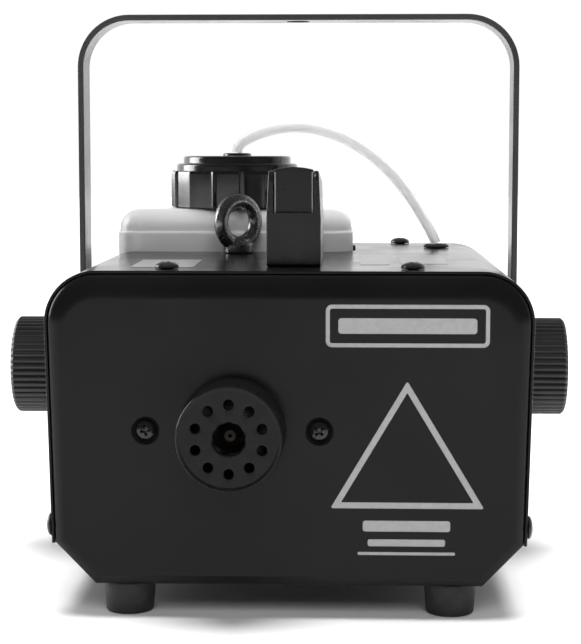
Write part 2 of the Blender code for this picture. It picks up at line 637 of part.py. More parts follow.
def build_looms():
    mains = [(INLET_X + 4, DEPTH - 20.4, INLET_UP), (INLET_X + 5, DEPTH - 25, INLET_UP)]
    mains += [(71, DEPTH - 33, -94), (74, 170, -97), (77, 152, -98), (76, 134, -96), (71.5, 121, -93)]
    mains += [(67.4, 117.2, -95.5), (67, 117, -99.8)]
    tube("mains_loom", smooth_route(mains, 7.0), 2.0, LOOM)
    leads = [(51, 117, -99.8), (51, 116.8, -96), (49, 114, -89), (42, 110, -82), (32, 106, -70)]
    leads += [(20, 100, -52), (10, 92, -38), (0, 82, -31.5), (-8, 72, -31), (NOZZLE_X + 9.8, 64.5, -32)]
    tube("heater_leads", smooth_route(leads, 8.0), 1.8, WHITE_SLEEVE)


# ---------------------------------------------------------------- handle and knobs


def handle_outline():
    """The strip's edge seen from the front: down the right leg, back up inside, and across."""
    low = PIVOT_UP - STRIP_WIDE / 2
    half, top, r = HANDLE_HALF, HANDLE_TOP, HANDLE_R
    outside = [(half, low), *arc((half - r, top - r), r, 0, 90, 7)]
    outside += [*arc((r - half, top - r), r, 90, 180, 7), (-half, low)]
    inner = r - STRIP
    inside = [(STRIP - half, low), *arc((r - half, top - r), inner, 180, 90, 7)]
    inside += [*arc((half - r, top - r), inner, 90, 0, 7), (half - STRIP, low)]
    return outside + inside


def build_handle():
    span = (PIVOT_BACK - STRIP_WIDE / 2, PIVOT_BACK + STRIP_WIDE / 2)
    handle = prism("handle", handle_outline(), "Y", span, BLACK_PAINT)
    # rounded leg ends, as (back, up)
    ends = [(span[1] + 5, HANDLE_TOP + 20), (span[0] - 5, HANDLE_TOP + 20), (span[0] - 5, PIVOT_UP)]
    ends += [*arc((PIVOT_BACK, PIVOT_UP), STRIP_WIDE / 2, 180, 360, 10), (span[1] + 5, PIVOT_UP)]
    combine(handle, prism("leg_ends", ends, "X", (-130, 130)), "INTERSECT")
    cut(handle, cylinder("handle_pivot_hole", STUD_R + 0.3, 240, (0, PIVOT_BACK, PIVOT_UP), "X", sides=20))
    cut(handle, cylinder("clamp_hole", 5.3, 12, (0, PIVOT_BACK, HANDLE_TOP), sides=20))
    return handle


def washer(name, outer, bore, low, high, look):
    """A flat ring on the handle's pivot between two values of x."""
    profile = [(bore, high), (outer, high), (outer, low), (bore, low)]
    if high < 0:
        profile = [(bore, -low), (outer, -low), (outer, -high), (bore, -high)]
    centre, axis = (0, PIVOT_BACK, PIVOT_UP), "X" if high > 0 else "-X"
    return turned(name, profile, centre, axis, look, steps=16, closed=True)


def build_clamp(word, side, start):
    """Knob, stud, fibre washer and fixed nut of one side; start is where the knob's inner face is."""
    axis = "X" if side > 0 else "-X"
    centre = (0, PIVOT_BACK, PIVOT_UP)
    edge = half_width_at(PIVOT_UP)
    profile = [(0, start + KNOB_LONG), (17.0, start + KNOB_LONG), (KNOB_R - 1.6, start + KNOB_LONG - 0.5)]
    profile += [(KNOB_R + 1, start + KNOB_LONG - 3.0), (KNOB_R + 1, start), (0, start)]
    knob = turned(f"knob_{word}", profile, centre, axis, KNOB_PLASTIC, steps=32)
    flutes = []
    for i in range(FLUTES):
        for part, radius in ((0.0, KNOB_R), (0.62, KNOB_R - 0.8)):
            turn = tau * (i + part + 0.13) / FLUTES
            flutes.append((PIVOT_BACK + radius * cos(turn), PIVOT_UP + radius * sin(turn)))
    reach = sorted((side * (start - 5), side * (start + KNOB_LONG + 5)))
    combine(knob, prism(f"knob_flutes_{word}", flutes, "X", reach), "INTERSECT")
    bore = (side * (start + 4), PIVOT_BACK, PIVOT_UP)
    cut(knob, cylinder(f"knob_bore_{word}", STUD_R + 0.3, 24, bore, "X", sides=20))
    inner, outer = edge - 9.2, start + 15.7
    middle = (side * (inner + outer) / 2, PIVOT_BACK, PIVOT_UP)
    cylinder(f"stud_{word}", STUD_R, outer - inner, middle, "X", ZINC_STEEL, 16)
    ring = sorted((side * (edge + 0.45), side * (HANDLE_HALF - STRIP - GAP)))
    washer(f"friction_washer_{word}", 9.5, STUD_R + 0.3, *ring, LOOM)
    nut_in, nut_out = edge - SHEET - 7.2, edge - SHEET - 0.5
    nut = [(STUD_R + 0.3, nut_out), (9.0, nut_out), (9.0, nut_out - 1.4), (7.0, nut_out - 1.4), (7.0, nut_in)]
    nut.append((STUD_R + 0.3, nut_in))
    turned(f"pivot_nut_{word}", nut, centre, axis, ZINC_STEEL, steps=12, closed=True)


# ---------------------------------------------------------------- tank and hose


def tank_block(name, grow, low, high, look=None):
    """A block with the tank's plan and rounded top and bottom edges."""
    plan = inset(tank_plan(0), -grow)
    return bevel(prism(name, plan, "Z", (low, high), look), TANK_SHOULDER + grow, 3, 60)


def build_tank():
    """A blow-moulded tank that hangs in the bay, a little wider below its seam, with a wide neck."""
    tank = tank_block("tank", 0, TANK_BOTTOM, TANK_TOP + 4, TANK_PLASTIC)
    cut(tank, box("tank_above_seam", (-120, 120), (80, 240), (TANK_SEAM, 60)))
    join(tank, tank_block("tank_dome", -TANK_STEP, TANK_SEAM - 20, TANK_TOP))
    join(tank, cylinder("neck", NECK_R, NECK_TOP - 10, (CAP_X, CAP_BACK, (NECK_TOP + 10) / 2), sides=28))
    inside = (TANK_BOTTOM + TANK_WALL, TANK_TOP - TANK_WALL)
    cut(tank, tank_block("tank_hollow", -TANK_STEP - TANK_WALL, *inside))
    cut(tank, cylinder("neck_bore", NECK_R - 2.5, 40, (CAP_X, CAP_BACK, NECK_TOP - 3), sides=28))
    pick = [(2.6, BOSS_TOP - 1.4), (2.6, -68), (6.0, -68), (6.0, -77.5), (1.6, -77.5), (1.6, BOSS_TOP - 1.4)]
    turned("pickup_tube", pick, (CAP_X, CAP_BACK, 0), "Z", CLEAR_HOSE, steps=12, closed=True)


def grip_outline():
    """The cap's outline: wide flats between narrow ribs."""
    out = []
    for i in range(CAP_GRIPS):
        for part, radius in ((-0.05, CAP_R), (0.05, CAP_R), (0.12, CAP_R - 1.2), (0.88, CAP_R - 1.2)):
            turn = tau * (i + part) / CAP_GRIPS + radians(CAP_TURN)
            out.append((CAP_X + radius * cos(turn), CAP_BACK + radius * sin(turn)))
    return out


def build_cap():
    cap = prism("tank_cap", grip_outline(), "Z", (CAP_LOW, CAP_GRIP_TOP), BLACK_PLASTIC)
    crown = [(0, BOSS_TOP), (6.4, BOSS_TOP), (7.0, BOSS_TOP - 0.7), (7.4, CAP_TOP), (25.6, CAP_TOP)]
    crown += [(26.4, CAP_TOP - 0.8), (26.4, CAP_STEP_TOP), (28.8, CAP_STEP_TOP), (29.6, CAP_STEP_TOP - 0.8)]
    crown += [(29.6, CAP_GRIP_TOP - 2), (0, CAP_GRIP_TOP - 2)]
    join(cap, turned("cap_crown", crown, (CAP_X, CAP_BACK, 0), steps=28))
    cut(cap, cylinder("cap_hollow", NECK_R + 0.8, 30, (CAP_X, CAP_BACK, 41.2 - 15), sides=28))
    cut(cap, cylinder("cap_hose_hole", HOSE_R + 0.4, 30, (CAP_X, CAP_BACK, 42), sides=14))
    seal = [(18.0, 40.9), (NECK_R, 40.9), (NECK_R, NECK_TOP + GAP), (18.0, NECK_TOP + GAP)]
    turned("cap_seal", seal, (CAP_X, CAP_BACK, 0), "Z", RUBBER, steps=20, closed=True)


def build_tank_shelf():
    """A bent shelf on the rear panel that carries the tank."""
    top = TANK_BOTTOM - GAP
    rear = DEPTH - SHEET - GAP
    shelf = box("tank_shelf", (-84, 24), (138, rear), (top - SHEET, top), ZINC_STEEL)
    join(shelf, box("shelf_back", (-84, 24), (rear - SHEET, rear), (top - 0.4, top + 26)))
    return shelf


def build_hose():
    tube("tank_hose", smooth_route(HOSE_ROUTE, 7.0), HOSE_R, CLEAR_HOSE)
    collar = [(2.9, 1.9), (5.0, 1.9), (6.2, 1.0), (6.2, GAP), (4.4, GAP), (4.4, -1.5), (6.2, -1.5)]
    collar += [(6.2, -2.6), (4.8, -4.0), (2.9, -4.0)]
    turned("hose_grommet", collar, (GROMMET_X, GROMMET_BACK, 0), "Z", RUBBER, steps=16, closed=True)


# ---------------------------------------------------------------- top fittings


def build_eyebolt():
    """A lifting eye turned about its shank, for a safety cable."""
    shank = [(0, 6.0), (5.0, 6.0), (7.2, 4.4), (7.2, GAP), (4.0, GAP), (4.0, -11), (0, -11)]
    eye = turned("safety_eyebolt", shank, (EYE_X, EYE_BACK, 0), "Z", DARK_STEEL, steps=16)
    ring = bpy.data.meshes.new("eye_ring")
    obj = add_object("eye_ring", ring)
    turns = [-tau * k / 8 for k in range(8)]
    wire = [(EYE_RING_R + EYE_WIRE_R * cos(a), EYE_WIRE_R * sin(a)) for a in turns]
    ring.from_pydata([(r * MM, 0, h * MM) for r, h in wire], [(k, (k + 1) % 8) for k in range(8)], [])
    screw = obj.modifiers.new("turn", "SCREW")
    screw.steps = screw.render_steps = 20
    screw.use_merge_vertices = True
    screw.merge_threshold = 0.00001
    turn = Matrix.Rotation(radians(EYE_TURN), 4, "Z") @ Matrix.Rotation(pi / 2, 4, "X")
    obj.matrix_world = Matrix.Translation(place(EYE_X, EYE_BACK, EYE_UP)) @ turn
    join(eye, obj)
    flats = arc((EYE_X, EYE_BACK), 7.2, 0, 300, 5)
    nut = prism("eyebolt_nut", flats, "Z", (-SHEET - GAP - 6.5, -SHEET - GAP), ZINC_STEEL)
    cut(nut, cylinder("nut_bore", 4.3, 20, (EYE_X, EYE_BACK, -4), sides=16))


def build_holder():
    """A cradle for the hand remote: a low front wall between two tall cheeks."""
    x0, x1 = HOLDER_X - HOLDER_WIDE / 2, HOLDER_X + HOLDER_WIDE / 2
    side = [(HOLDER_BACK0, GAP), (HOLDER_BACK1, GAP), (HOLDER_BACK1, HOLDER_TALL_REAR - 3)]
    side += [(HOLDER_BACK1 - 3, HOLDER_TALL_REAR), (HOLDER_BACK0 + 2.5, HOLDER_TALL)]
    side.append((HOLDER_BACK0, HOLDER_TALL - 2))
    holder = prism("remote_holder", side, "X", (x0, x1), BLACK_PLASTIC)
    inner = (x0 + HOLDER_WALL, x1 - HOLDER_WALL)
    cut(holder, box("holder_pocket", inner, (HOLDER_BACK0 + 2.4, HOLDER_BACK1 - 2.4), (2.3, 60)))
    cut(holder, box("holder_front", inner, (HOLDER_BACK0 - 5, HOLDER_BACK0 + 10), (HOLDER_LEDGE, 60)))
    cut(holder, box("holder_rear", inner, (HOLDER_BACK1 - 10, HOLDER_BACK1 + 5), (18.0, 60)))
    return holder


def build_remote():
    """The hand remote, standing in its cradle with a push button on its sloping top."""
    half = HOLDER_WIDE / 2 - HOLDER_WALL - GAP
    back = (HOLDER_BACK0 + 2.7, HOLDER_BACK1 - 2.7)
    low = 2.6
    side = [(back[0], low), (back[1], low), (back[1], REMOTE_TOP_REAR), (back[0], REMOTE_TOP)]
    case = prism("remote_case", side, "X", (HOLDER_X - half, HOLDER_X + half), BLACK_PLASTIC)
    slope = (REMOTE_TOP - REMOTE_TOP_REAR) / (back[1] - back[0])
    reach = (half**2 + REMOTE_DOME**2) / (2 * REMOTE_DOME)
    spread = degrees(atan2(half, reach - REMOTE_DOME))
    dome = arc((HOLDER_X, REMOTE_TOP - reach), reach, 90 - spread, 90 + spread, 6)
    front = prism("remote_dome", [(HOLDER_X - half - 1, 0), (HOLDER_X + half + 1, 0), *dome], "Y", (0, 130))
    tilt = Matrix.Rotation(-atan2(slope, 1), 4, "X")
    corner = Matrix.Translation(place(HOLDER_X, back[0], REMOTE_TOP))
    front.matrix_world = corner @ tilt @ corner.inverted() @ front.matrix_world
    combine(case, front, "INTERSECT")
    deck = REMOTE_TOP - slope * (BUTTON_BACK - back[0])
    cut(case, cylinder("button_well", BUTTON_R + 0.4, 14, (HOLDER_X, BUTTON_BACK, deck), sides=16))
    cut(case, cylinder("remote_cord_hole", 2.2, 16, (HOLDER_X, back[1], 12), "Y", sides=12))
    cap = [(0, deck + 1.2), (3.4, deck + 1.1), (BUTTON_R, deck + 0.4), (BUTTON_R, deck - 4.0)]
    cap.append((0, deck - 4.0))
    turned("remote_button", cap, (HOLDER_X, BUTTON_BACK, 0), "Z", BLACK_PLASTIC, steps=16)


def main():
    build_chassis()
    build_cover()
    build_screws()
    build_feet()
    build_outlet()
    build_heater()
    build_pump()
    build_pipes()
    build_board()
    build_rear_fittings()
    build_looms()
    build_handle()
    build_clamp("left", -1, HANDLE_HALF + GAP + SPACER + GAP)
    spacer = (-(HANDLE_HALF + GAP + SPACER), -(HANDLE_HALF + GAP))
    washer("knob_spacer_left", 12.0, STUD_R + 0.3, *spacer, RUBBER)
    build_clamp("right", 1, HANDLE_HALF + GAP)
    build_tank_shelf()
    build_tank()
    build_cap()
    build_hose()
    build_eyebolt()
    build_holder()
    build_remote()


clear_scene()
PARTS = collection("fog_machine")
CUTTERS = collection("cutters")
main()
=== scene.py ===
"""The looks of a compact fog machine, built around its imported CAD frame.

Lengths in the text are millimetres from the frame's own datum: the chassis' centre line, the front
panel's face and the cover's top face. at() turns them into metres in the frame.
"""

import json
from math import atan2, cos, degrees, pi, radians, sin, sqrt, tau

import bmesh
import bpy
from mathutils import Matrix, Vector


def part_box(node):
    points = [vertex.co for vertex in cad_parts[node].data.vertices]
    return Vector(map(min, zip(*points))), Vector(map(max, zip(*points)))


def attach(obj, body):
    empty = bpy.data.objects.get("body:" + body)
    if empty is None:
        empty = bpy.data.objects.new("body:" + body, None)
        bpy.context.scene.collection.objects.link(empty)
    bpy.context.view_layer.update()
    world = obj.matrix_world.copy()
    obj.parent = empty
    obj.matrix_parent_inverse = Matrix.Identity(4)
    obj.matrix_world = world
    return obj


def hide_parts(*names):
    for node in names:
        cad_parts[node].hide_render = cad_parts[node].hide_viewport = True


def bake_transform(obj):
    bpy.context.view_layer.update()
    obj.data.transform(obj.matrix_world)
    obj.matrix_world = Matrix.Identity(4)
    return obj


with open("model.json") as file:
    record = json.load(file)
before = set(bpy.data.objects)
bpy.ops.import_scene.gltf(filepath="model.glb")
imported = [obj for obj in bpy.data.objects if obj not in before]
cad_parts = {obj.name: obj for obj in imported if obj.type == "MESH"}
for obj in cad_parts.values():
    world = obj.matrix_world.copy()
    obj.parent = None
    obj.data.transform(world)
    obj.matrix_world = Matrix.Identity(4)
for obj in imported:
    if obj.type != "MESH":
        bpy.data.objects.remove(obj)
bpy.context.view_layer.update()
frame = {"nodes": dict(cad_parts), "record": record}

MM = 0.001
CHASSIS_LOW, CHASSIS_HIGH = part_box("chassis")
CENTRE_X = (CHASSIS_LOW.x + CHASSIS_HIGH.x) / 2
FRONT_Y = CHASSIS_LOW.y
TOP_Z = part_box("top_cover")[1].z
DEPTH = (CHASSIS_HIGH.y - CHASSIS_LOW.y) / MM

# sheet metal
SHEET, GAP = 1.2, 0.3
BODY_HEIGHT = 127.5
HALF_WIDTH, HALF_WIDTH_LOW, CORNER_R, COVER_DROP = 98.3, 96.2, 21.0, 111.0
CHAMFER_X, RIM_R, ROLL, FLANGE, COVER_SET_BACK = 78.4, 4.0, 10.0, 25.0, 3.5
SCREW_X, SCREW_FRONT, SCREW_REAR = 50.0, 17.0, 208.5
SIDE_SCREW_FRONT, SIDE_SCREW_REAR, SIDE_SCREW_UP = 8.0, 208.0, -104.0
SCREW_HOLE_R = 2.7
FOOT_X, FOOT_FRONT, FOOT_REAR, FOOT_TALL = 66.0, 16.0, 199.0, 13.5

# fog outlet
NOZZLE_X, NOZZLE_UP = -22.4, -63.9
NOZZLE_R, NOZZLE_OUT, NOZZLE_HOLE_R = 21.0, 21.0, 6.5
JET_R, JET_RING_R, JETS = 2.05, 13.7, 10
FLANK_SPAN = 34.85

# handle and clamp
PIVOT_BACK, PIVOT_UP = 131.0, -53.5
STRIP, STRIP_WIDE, HANDLE_HALF, HANDLE_TOP, HANDLE_R = 2.7, 20.0, 101.9, 110.0, 24.0
KNOB_R, KNOB_LONG, FLUTES = 22.7, 22.8, 48

# tank
TANK_CORNER, TANK_SHOULDER, TANK_STEP, TANK_SEAM = 14.0, 9.0, 0.8, 9.5
TANK_DOME, TANK_WALL = 19.8, 2.0
CAP_X, CAP_BACK = -31.0, 167.0
NECK_R, NECK_TOP = 26.5, 38.0
CAP_R, CAP_LOW, CAP_GRIP_TOP, CAP_STEP_TOP, CAP_TOP, BOSS_TOP = 32.3, 20.2, 37.9, 41.4, 45.0, 46.4
CAP_GRIPS, CAP_TURN = 15, -83.1

# hose from the cap to the top panel, as in the CAD
HOSE_R, HOSE_BORE_R = 2.6, 1.6
HOSE_ROUTE = [
    (-0.02685, 0.0680, 0.1877),
    (-0.02625, 0.0680, 0.1902),
    (-0.02405, 0.0680, 0.1928),
    (-0.02005, 0.0680, 0.1951),
    (-0.01425, 0.0681, 0.1974),
    (-0.00685, 0.0682, 0.1993),
    (0.00115, 0.0684, 0.1999),
    (0.00955, 0.0686, 0.1993),
    (0.01815, 0.0689, 0.1973),
    (0.02695, 0.0692, 0.1937),
    (0.03575, 0.0695, 0.1885),
    (0.04415, 0.0698, 0.1818),
    (0.05175, 0.0701, 0.1739),
    (0.05835, 0.0704, 0.1652),
    (0.06395, 0.0707, 0.1562),
    (0.06825, 0.0709, 0.1486),
    (0.07065, 0.0710, 0.1432),
]
GROMMET_X, GROMMET_BACK = 66.7, 170.0

# top fittings
EYE_X, EYE_BACK, EYE_UP, EYE_RING_R, EYE_WIRE_R, EYE_TURN = -27.6, 122.0, 14.4, 10.1, 3.3, 42.0
HOLDER_X, HOLDER_BACK0, HOLDER_BACK1, HOLDER_WIDE, HOLDER_WALL = 1.3, 25.7, 94.5, 22.4, 2.8
HOLDER_LEDGE, HOLDER_TALL, HOLDER_TALL_REAR = 22.3, 39.6, 34.6
REMOTE_TOP, REMOTE_TOP_REAR, REMOTE_DOME = 41.1, 36.2, 1.1
BUTTON_BACK, BUTTON_R = 74.0, 4.5

# rear panel
INLET_X, INLET_UP = 62.0, -93.0
SWITCH_X, SWITCH_UP, SWITCH_TRAVEL = 77.0, -60.0, 18.0
SOCKET_X, SOCKET_UP = 46.0, -60.0

# blank labels on the cover
TOP_LABELS = (
    ("label_left", (-66.0, -40.0), (24.0, 72.0)),
    ("label_right", (29.0, 41.0), (42.0, 112.0)),
    ("label_corner", (46.0, 66.0), (48.0, 112.0)),
)

# camera: its lens and sensor in millimetres, its place in metres and its turns in degrees
LENS, SENSOR = 96.98, 36.0
CAMERA_AT = (0.02918, -0.7844, 0.1897)
CAMERA_PITCH, CAMERA_TURN = 84.28, 2.01

SKY_GAIN, SKY_BASE = 1.5, 0.07  # strength of the world's light: low behind the object, and elsewhere

FINE = 48  # sides of a round piece

# directions
ACROSS, FRONTWARD, REARWARD, UPWARD = (1, 0, 0), (0, -1, 0), (0, 1, 0), (0, 0, 1)

# points on axes, from the datum
NOZZLE_AT = (NOZZLE_X, 0, NOZZLE_UP)
PIVOT_AT = (0, PIVOT_BACK, PIVOT_UP)
CAP_AT = (CAP_X, CAP_BACK, 0)
GROMMET_AT = (GROMMET_X, GROMMET_BACK, 0)

SIDES = ((-1, "left"), (1, "right"))


# ---- geometry tools


def at(x, back, up):
    """A point given from the datum, in metres in the frame."""
    return Vector((CENTRE_X + x * MM, FRONT_Y + back * MM, TOP_Z + up * MM))


def basis(origin, axis):
    """A frame whose Z runs along the axis from a point given from the datum, in millimetres."""
    turn = Vector(axis).to_track_quat("Z", "Y").to_matrix().to_4x4()
    return Matrix.Translation(at(*origin)) @ turn @ Matrix.Scale(MM, 4)


def new_object(name, mesh):
    obj = bpy.data.objects.new(name, mesh)
    bpy.context.scene.collection.objects.link(obj)
    return obj


def from_bmesh(name, bm, matrix=None, smooth=35):
    """A mesh object from a bmesh in metres, or in the space of a matrix."""
    mesh = bpy.data.meshes.new(name)
    if matrix is not None:
        bm.transform(matrix)
    bmesh.ops.remove_doubles(bm, verts=bm.verts, dist=1e-7)
    bmesh.ops.recalc_face_normals(bm, faces=bm.faces)
    bm.to_mesh(mesh)
    bm.free()
    obj = new_object(name, mesh)
    return shade(obj, smooth)


def shade(obj, angle):
    """Smooth shading between sharp edges, with the larger faces kept flat."""
    obj.data.shade_smooth()
    obj.data.set_sharp_from_angle(angle=radians(angle))
    if "flat faces" not in obj.modifiers:
        weighted = obj.modifiers.new("flat faces", "WEIGHTED_NORMAL")
        weighted.keep_sharp = True
    return obj


def loft(name, rings, matrix=None, cyclic=True, caps=True, close=False, smooth=35):
    """Quads between equal rings of points, with the end rings filled."""
    bm = bmesh.new()
    rows = [[bm.verts.new(p) for p in ring] for ring in rings]
    if close:
        rows.append(rows[0])
    count = len(rings[0])
    for one, two in zip(rows, rows[1:]):
        for i in range(count if cyclic else count - 1):
            j = (i + 1) % count
            bm.faces.new((one[i], one[j], two[j], two[i]))
    if caps and not close:
        bm.faces.new(rows[0][::-1])
        bm.faces.new(rows[-1])
    return from_bmesh(name, bm, matrix, smooth)


def turned(name, profile, origin, axis, sides=FINE, closed=False, smooth=35):
    """A shape turned about an axis from (radius, height) points."""
    bm = bmesh.new()
    rows = []
    for r, h in profile:
        if r < 1e-6:
            rows.append([bm.verts.new((0, 0, h))] * sides)
        else:
            turn = [tau * k / sides for k in range(sides)]
            rows.append([bm.verts.new((r * cos(a), r * sin(a), h)) for a in turn])
    pairs = list(zip(rows, rows[1:])) + ([(rows[-1], rows[0])] if closed else [])
    for one, two in pairs:
        for i in range(sides):
            j = (i + 1) % sides
            corners = [one[i], one[j], two[j], two[i]]
            corners = [v for k, v in enumerate(corners) if v not in corners[:k]]
            if len(corners) > 2:
                bm.faces.new(corners)
    return from_bmesh(name, bm, basis(origin, axis), smooth)


def soft(profile, radius, pieces=3, closed=False):
    """The profile with its corners rounded where the two sides allow it."""
    out = []
    count = len(profile)
    for i, here in enumerate(profile):
        if not closed and i in (0, count - 1):
            out.append(here)
            continue
        a, p, b = Vector(profile[i - 1]), Vector(here), Vector(profile[(i + 1) % count])
        cut = min(radius, (a - p).length * 0.45, (b - p).length * 0.45)
        start, end = p + (a - p).normalized() * cut, p + (b - p).normalized() * cut
        for k in range(pieces + 1):
            t = k / pieces
            out.append(tuple(start * (1 - t) ** 2 + p * 2 * t * (1 - t) + end * t**2))
    return out


def arc(centre, radius, start, end, pieces):
    """Points on a circle from one angle to another, in degrees."""
    turn = [radians(start + (end - start) * k / pieces) for k in range(pieces + 1)]
    return [(centre[0] + radius * cos(a), centre[1] + radius * sin(a)) for a in turn]


def inset(outline, distance):
    """A counter-clockwise outline moved inwards by a distance."""
    out = []
    for i, here in enumerate(outline):
        before, after = outline[i - 1], outline[(i + 1) % len(outline)]
        one = Vector((here[0] - before[0], here[1] - before[1])).normalized()
        two = Vector((after[0] - here[0], after[1] - here[1])).normalized()
        normal = Vector((-one.y - two.y, one.x + two.x)).normalized()
        reach = distance / max(0.2, normal.dot(Vector((-one.y, one.x))))
        out.append((here[0] + normal.x * reach, here[1] + normal.y * reach))
    return out


def rounded(x, y, radius, pieces=8):
    """A rectangle with round corners, counter-clockwise."""
    corners = ((x[1], y[1], 0), (x[0], y[1], 90), (x[0], y[0], 180), (x[1], y[0], 270))
    out = []
    for cx, cy, start in corners:
        inside = (cx - radius if cx == x[1] else cx + radius, cy - radius if cy == y[1] else cy + radius)
        out += arc(inside, radius, start, start + 90, pieces)
    return out


def about(middle, half):
    return (middle - half, middle + half)


PLANES = {
    "X": lambda a, b, c: at(c, a, b),
    "Y": lambda a, b, c: at(a, c, b),
    "Z": lambda a, b, c: at(a, b, c),
}


def prism(name, outline, across, span, edge=0.0, pieces=3, smooth=35):
    """An outline given a thickness along X, Y or Z, its two rims rounded by the edge radius.

    The outline is (back, up) for X, (x, up) for Y and (x, back) for Z, counter-clockwise.
    """
    spot = PLANES[across]
    levels = [(span[0], 0.0), (span[1], 0.0)]
    if edge:
        turn = [radians(90 * k / pieces) for k in range(pieces + 1)]
        low = [(span[0] + edge * (1 - sin(a)), edge * (1 - cos(a))) for a in turn[::-1]]
        high = [(span[1] - edge * (1 - sin(a)), edge * (1 - cos(a))) for a in turn]
        levels = low + high
    rings = []
    for level, depth in levels:
        shape = inset(outline, depth) if depth else outline
        rings.append([spot(a, b, level) for a, b in shape])
    return loft(name, rings, smooth=smooth)


def block(name, x, back, up, edge=0.4):
    """A box with rounded edges."""
    return prism(name, rounded(x, back, 1.5 * edge, 3), "Z", up, edge)


def combine(obj, others, operation):
    """Applies a Boolean with each of the others, and removes them."""
    for other in others:
        step = obj.modifiers.new(other.name, "BOOLEAN")
        step.operation = operation
        step.solver = "EXACT"
        step.object = other
    return settle(obj, others)


def settle(obj, spent=()):
    """The object's modifiers applied, and the spent objects removed."""
    bpy.context.view_layer.update()
    seen = obj.evaluated_get(bpy.context.evaluated_depsgraph_get())
    mesh = bpy.data.meshes.new_from_object(seen)
    obj.modifiers.clear()
    obj.data = mesh
    for other in spent:
        bpy.data.objects.remove(other, do_unlink=True)
    return shade(obj, 35)


def cut(obj, *others):
    return combine(obj, others, "DIFFERENCE")


def join(obj, *others):
    return combine(obj, others, "UNION")


def rod(name, radius, span, origin, axis, sides=24):
    """A plain rod along an axis, from one distance to another, as a cutter."""
    profile = [(0, span[1]), (radius, span[1]), (radius, span[0]), (0, span[0])]
    return turned(name, profile, origin, axis, sides)


def smooth_route(points, every):
    """Points about the given distance apart, on the Catmull-Rom curve through the route's points."""
    ends = [2 * Vector(points[0]) - Vector(points[1]), 2 * Vector(points[-1]) - Vector(points[-2])]
    p = [ends[0], *(Vector(q) for q in points), ends[1]]
    out = [p[1]]
    for a, b, c, d in zip(p, p[1:], p[2:], p[3:]):
        pieces = max(1, round((c - b).length / every))
        for k in range(1, pieces + 1):
            t = k / pieces
            square, cube = 2 * a - 5 * b + 4 * c - d, 3 * b - 3 * c + d - a
            out.append(0.5 * (2 * b + (c - a) * t + square * t**2 + cube * t**3))
    return out


def pipe(name, route, radius, sides=20, bore=0.0):
    """A tube mesh along a route in metres, with an open bore where one is given."""
    rows, inner = [], []
    side = None
    for i, here in enumerate(route):
        ahead = route[min(i + 1, len(route) - 1)] - route[max(i - 1, 0)]
        ahead.normalize()
        if side is None:
            side = ahead.orthogonal().normalized()
        side = (side - ahead * side.dot(ahead)).normalized()
        other = ahead.cross(side)
        turn = [tau * k / sides for k in range(sides)]
        rows.append([here + (side * cos(a) + other * sin(a)) * radius for a in turn])
        inner.append([here + (side * cos(a) + other * sin(a)) * bore for a in turn])
    if bore:
        return loft(name, rows + inner[::-1], close=True)
    return loft(name, rows)


# ---- materials


class Look:
    """A Principled material with a few helpers for its procedural detail."""

    def __init__(self, name, colour, roughness, metallic=0.0, **sockets):
        self.material = bpy.data.materials.new(name)
        self.material.use_nodes = True
        self.tree = self.material.node_tree
        self.shader = self.tree.nodes["Principled BSDF"]
        self.shader.inputs["Base Color"].default_value = (*colour, 1.0)
        self.shader.inputs["Roughness"].default_value = roughness
        self.shader.inputs["Metallic"].default_value = metallic
        for socket, value in sockets.items():
            self.shader.inputs[socket.replace("_", " ")].default_value = value
        self.colour = colour
        self.roughness = roughness
        self.height = None
        self.place = self.node("ShaderNodeTexCoord").outputs["Object"]

    def node(self, kind, **values):
        made = self.tree.nodes.new(kind)
        for name, value in values.items():
            setattr(made, name, value)
        return made

    def link(self, output, socket):
        self.tree.links.new(output, socket)

    def noise(self, size, detail=2.0, rough=0.5, stretch=(1, 1, 1)):
        """Noise whose features are about size metres across."""
        mapping = self.node("ShaderNodeMapping")
        mapping.inputs["Scale"].default_value = stretch
        self.link(self.place, mapping.inputs["Vector"])
        noise = self.node("ShaderNodeTexNoise")
        noise.inputs["Scale"].default_value = 1.0 / size
        noise.inputs["Detail"].default_value = detail
        noise.inputs["Roughness"].default_value = rough
        self.link(mapping.outputs["Vector"], noise.inputs["Vector"])
        return noise.outputs["Fac"]

    def spread(self, value, low, high, start=0.35, end=0.65):
        """A value mapped from start..end to low..high."""
        step = self.node("ShaderNodeMapRange")
        step.inputs["From Min"].default_value = start
        step.inputs["From Max"].default_value = end
        step.inputs["To Min"].default_value = low
        step.inputs["To Max"].default_value = high
        self.link(value, step.inputs["Value"])
        return step.outputs["Result"]

    def vary_roughness(self, value, amount):
        changed = self.spread(value, self.roughness - amount, self.roughness + amount)
        self.link(changed, self.shader.inputs["Roughness"])
        return self

    def tint(self, value, other, start=0.35, end=0.65):
        """Mixes the colour towards another where the value is high."""
        mix = self.node("ShaderNodeMix", data_type="RGBA")
        mix.inputs["A"].default_value = (*self.colour, 1.0)
        mix.inputs["B"].default_value = (*other, 1.0)
        current = self.shader.inputs["Base Color"]
        if current.is_linked:
            self.link(current.links[0].from_socket, mix.inputs["A"])
        self.link(self.spread(value, 0.0, 1.0, start, end), mix.inputs["Factor"])
        self.link(mix.outputs["Result"], current)
        return self

    def bump(self, value, depth, strength=1.0):
        """Adds a height of the given depth in metres."""
        bump = self.node("ShaderNodeBump")
        bump.inputs["Strength"].default_value = strength
        bump.inputs["Distance"].default_value = depth
        self.link(value, bump.inputs["Height"])
        socket = self.shader.inputs["Normal"]
        if socket.is_linked:
            self.link(socket.links[0].from_socket, bump.inputs["Normal"])
        self.link(bump.outputs["Normal"], socket)
        return self


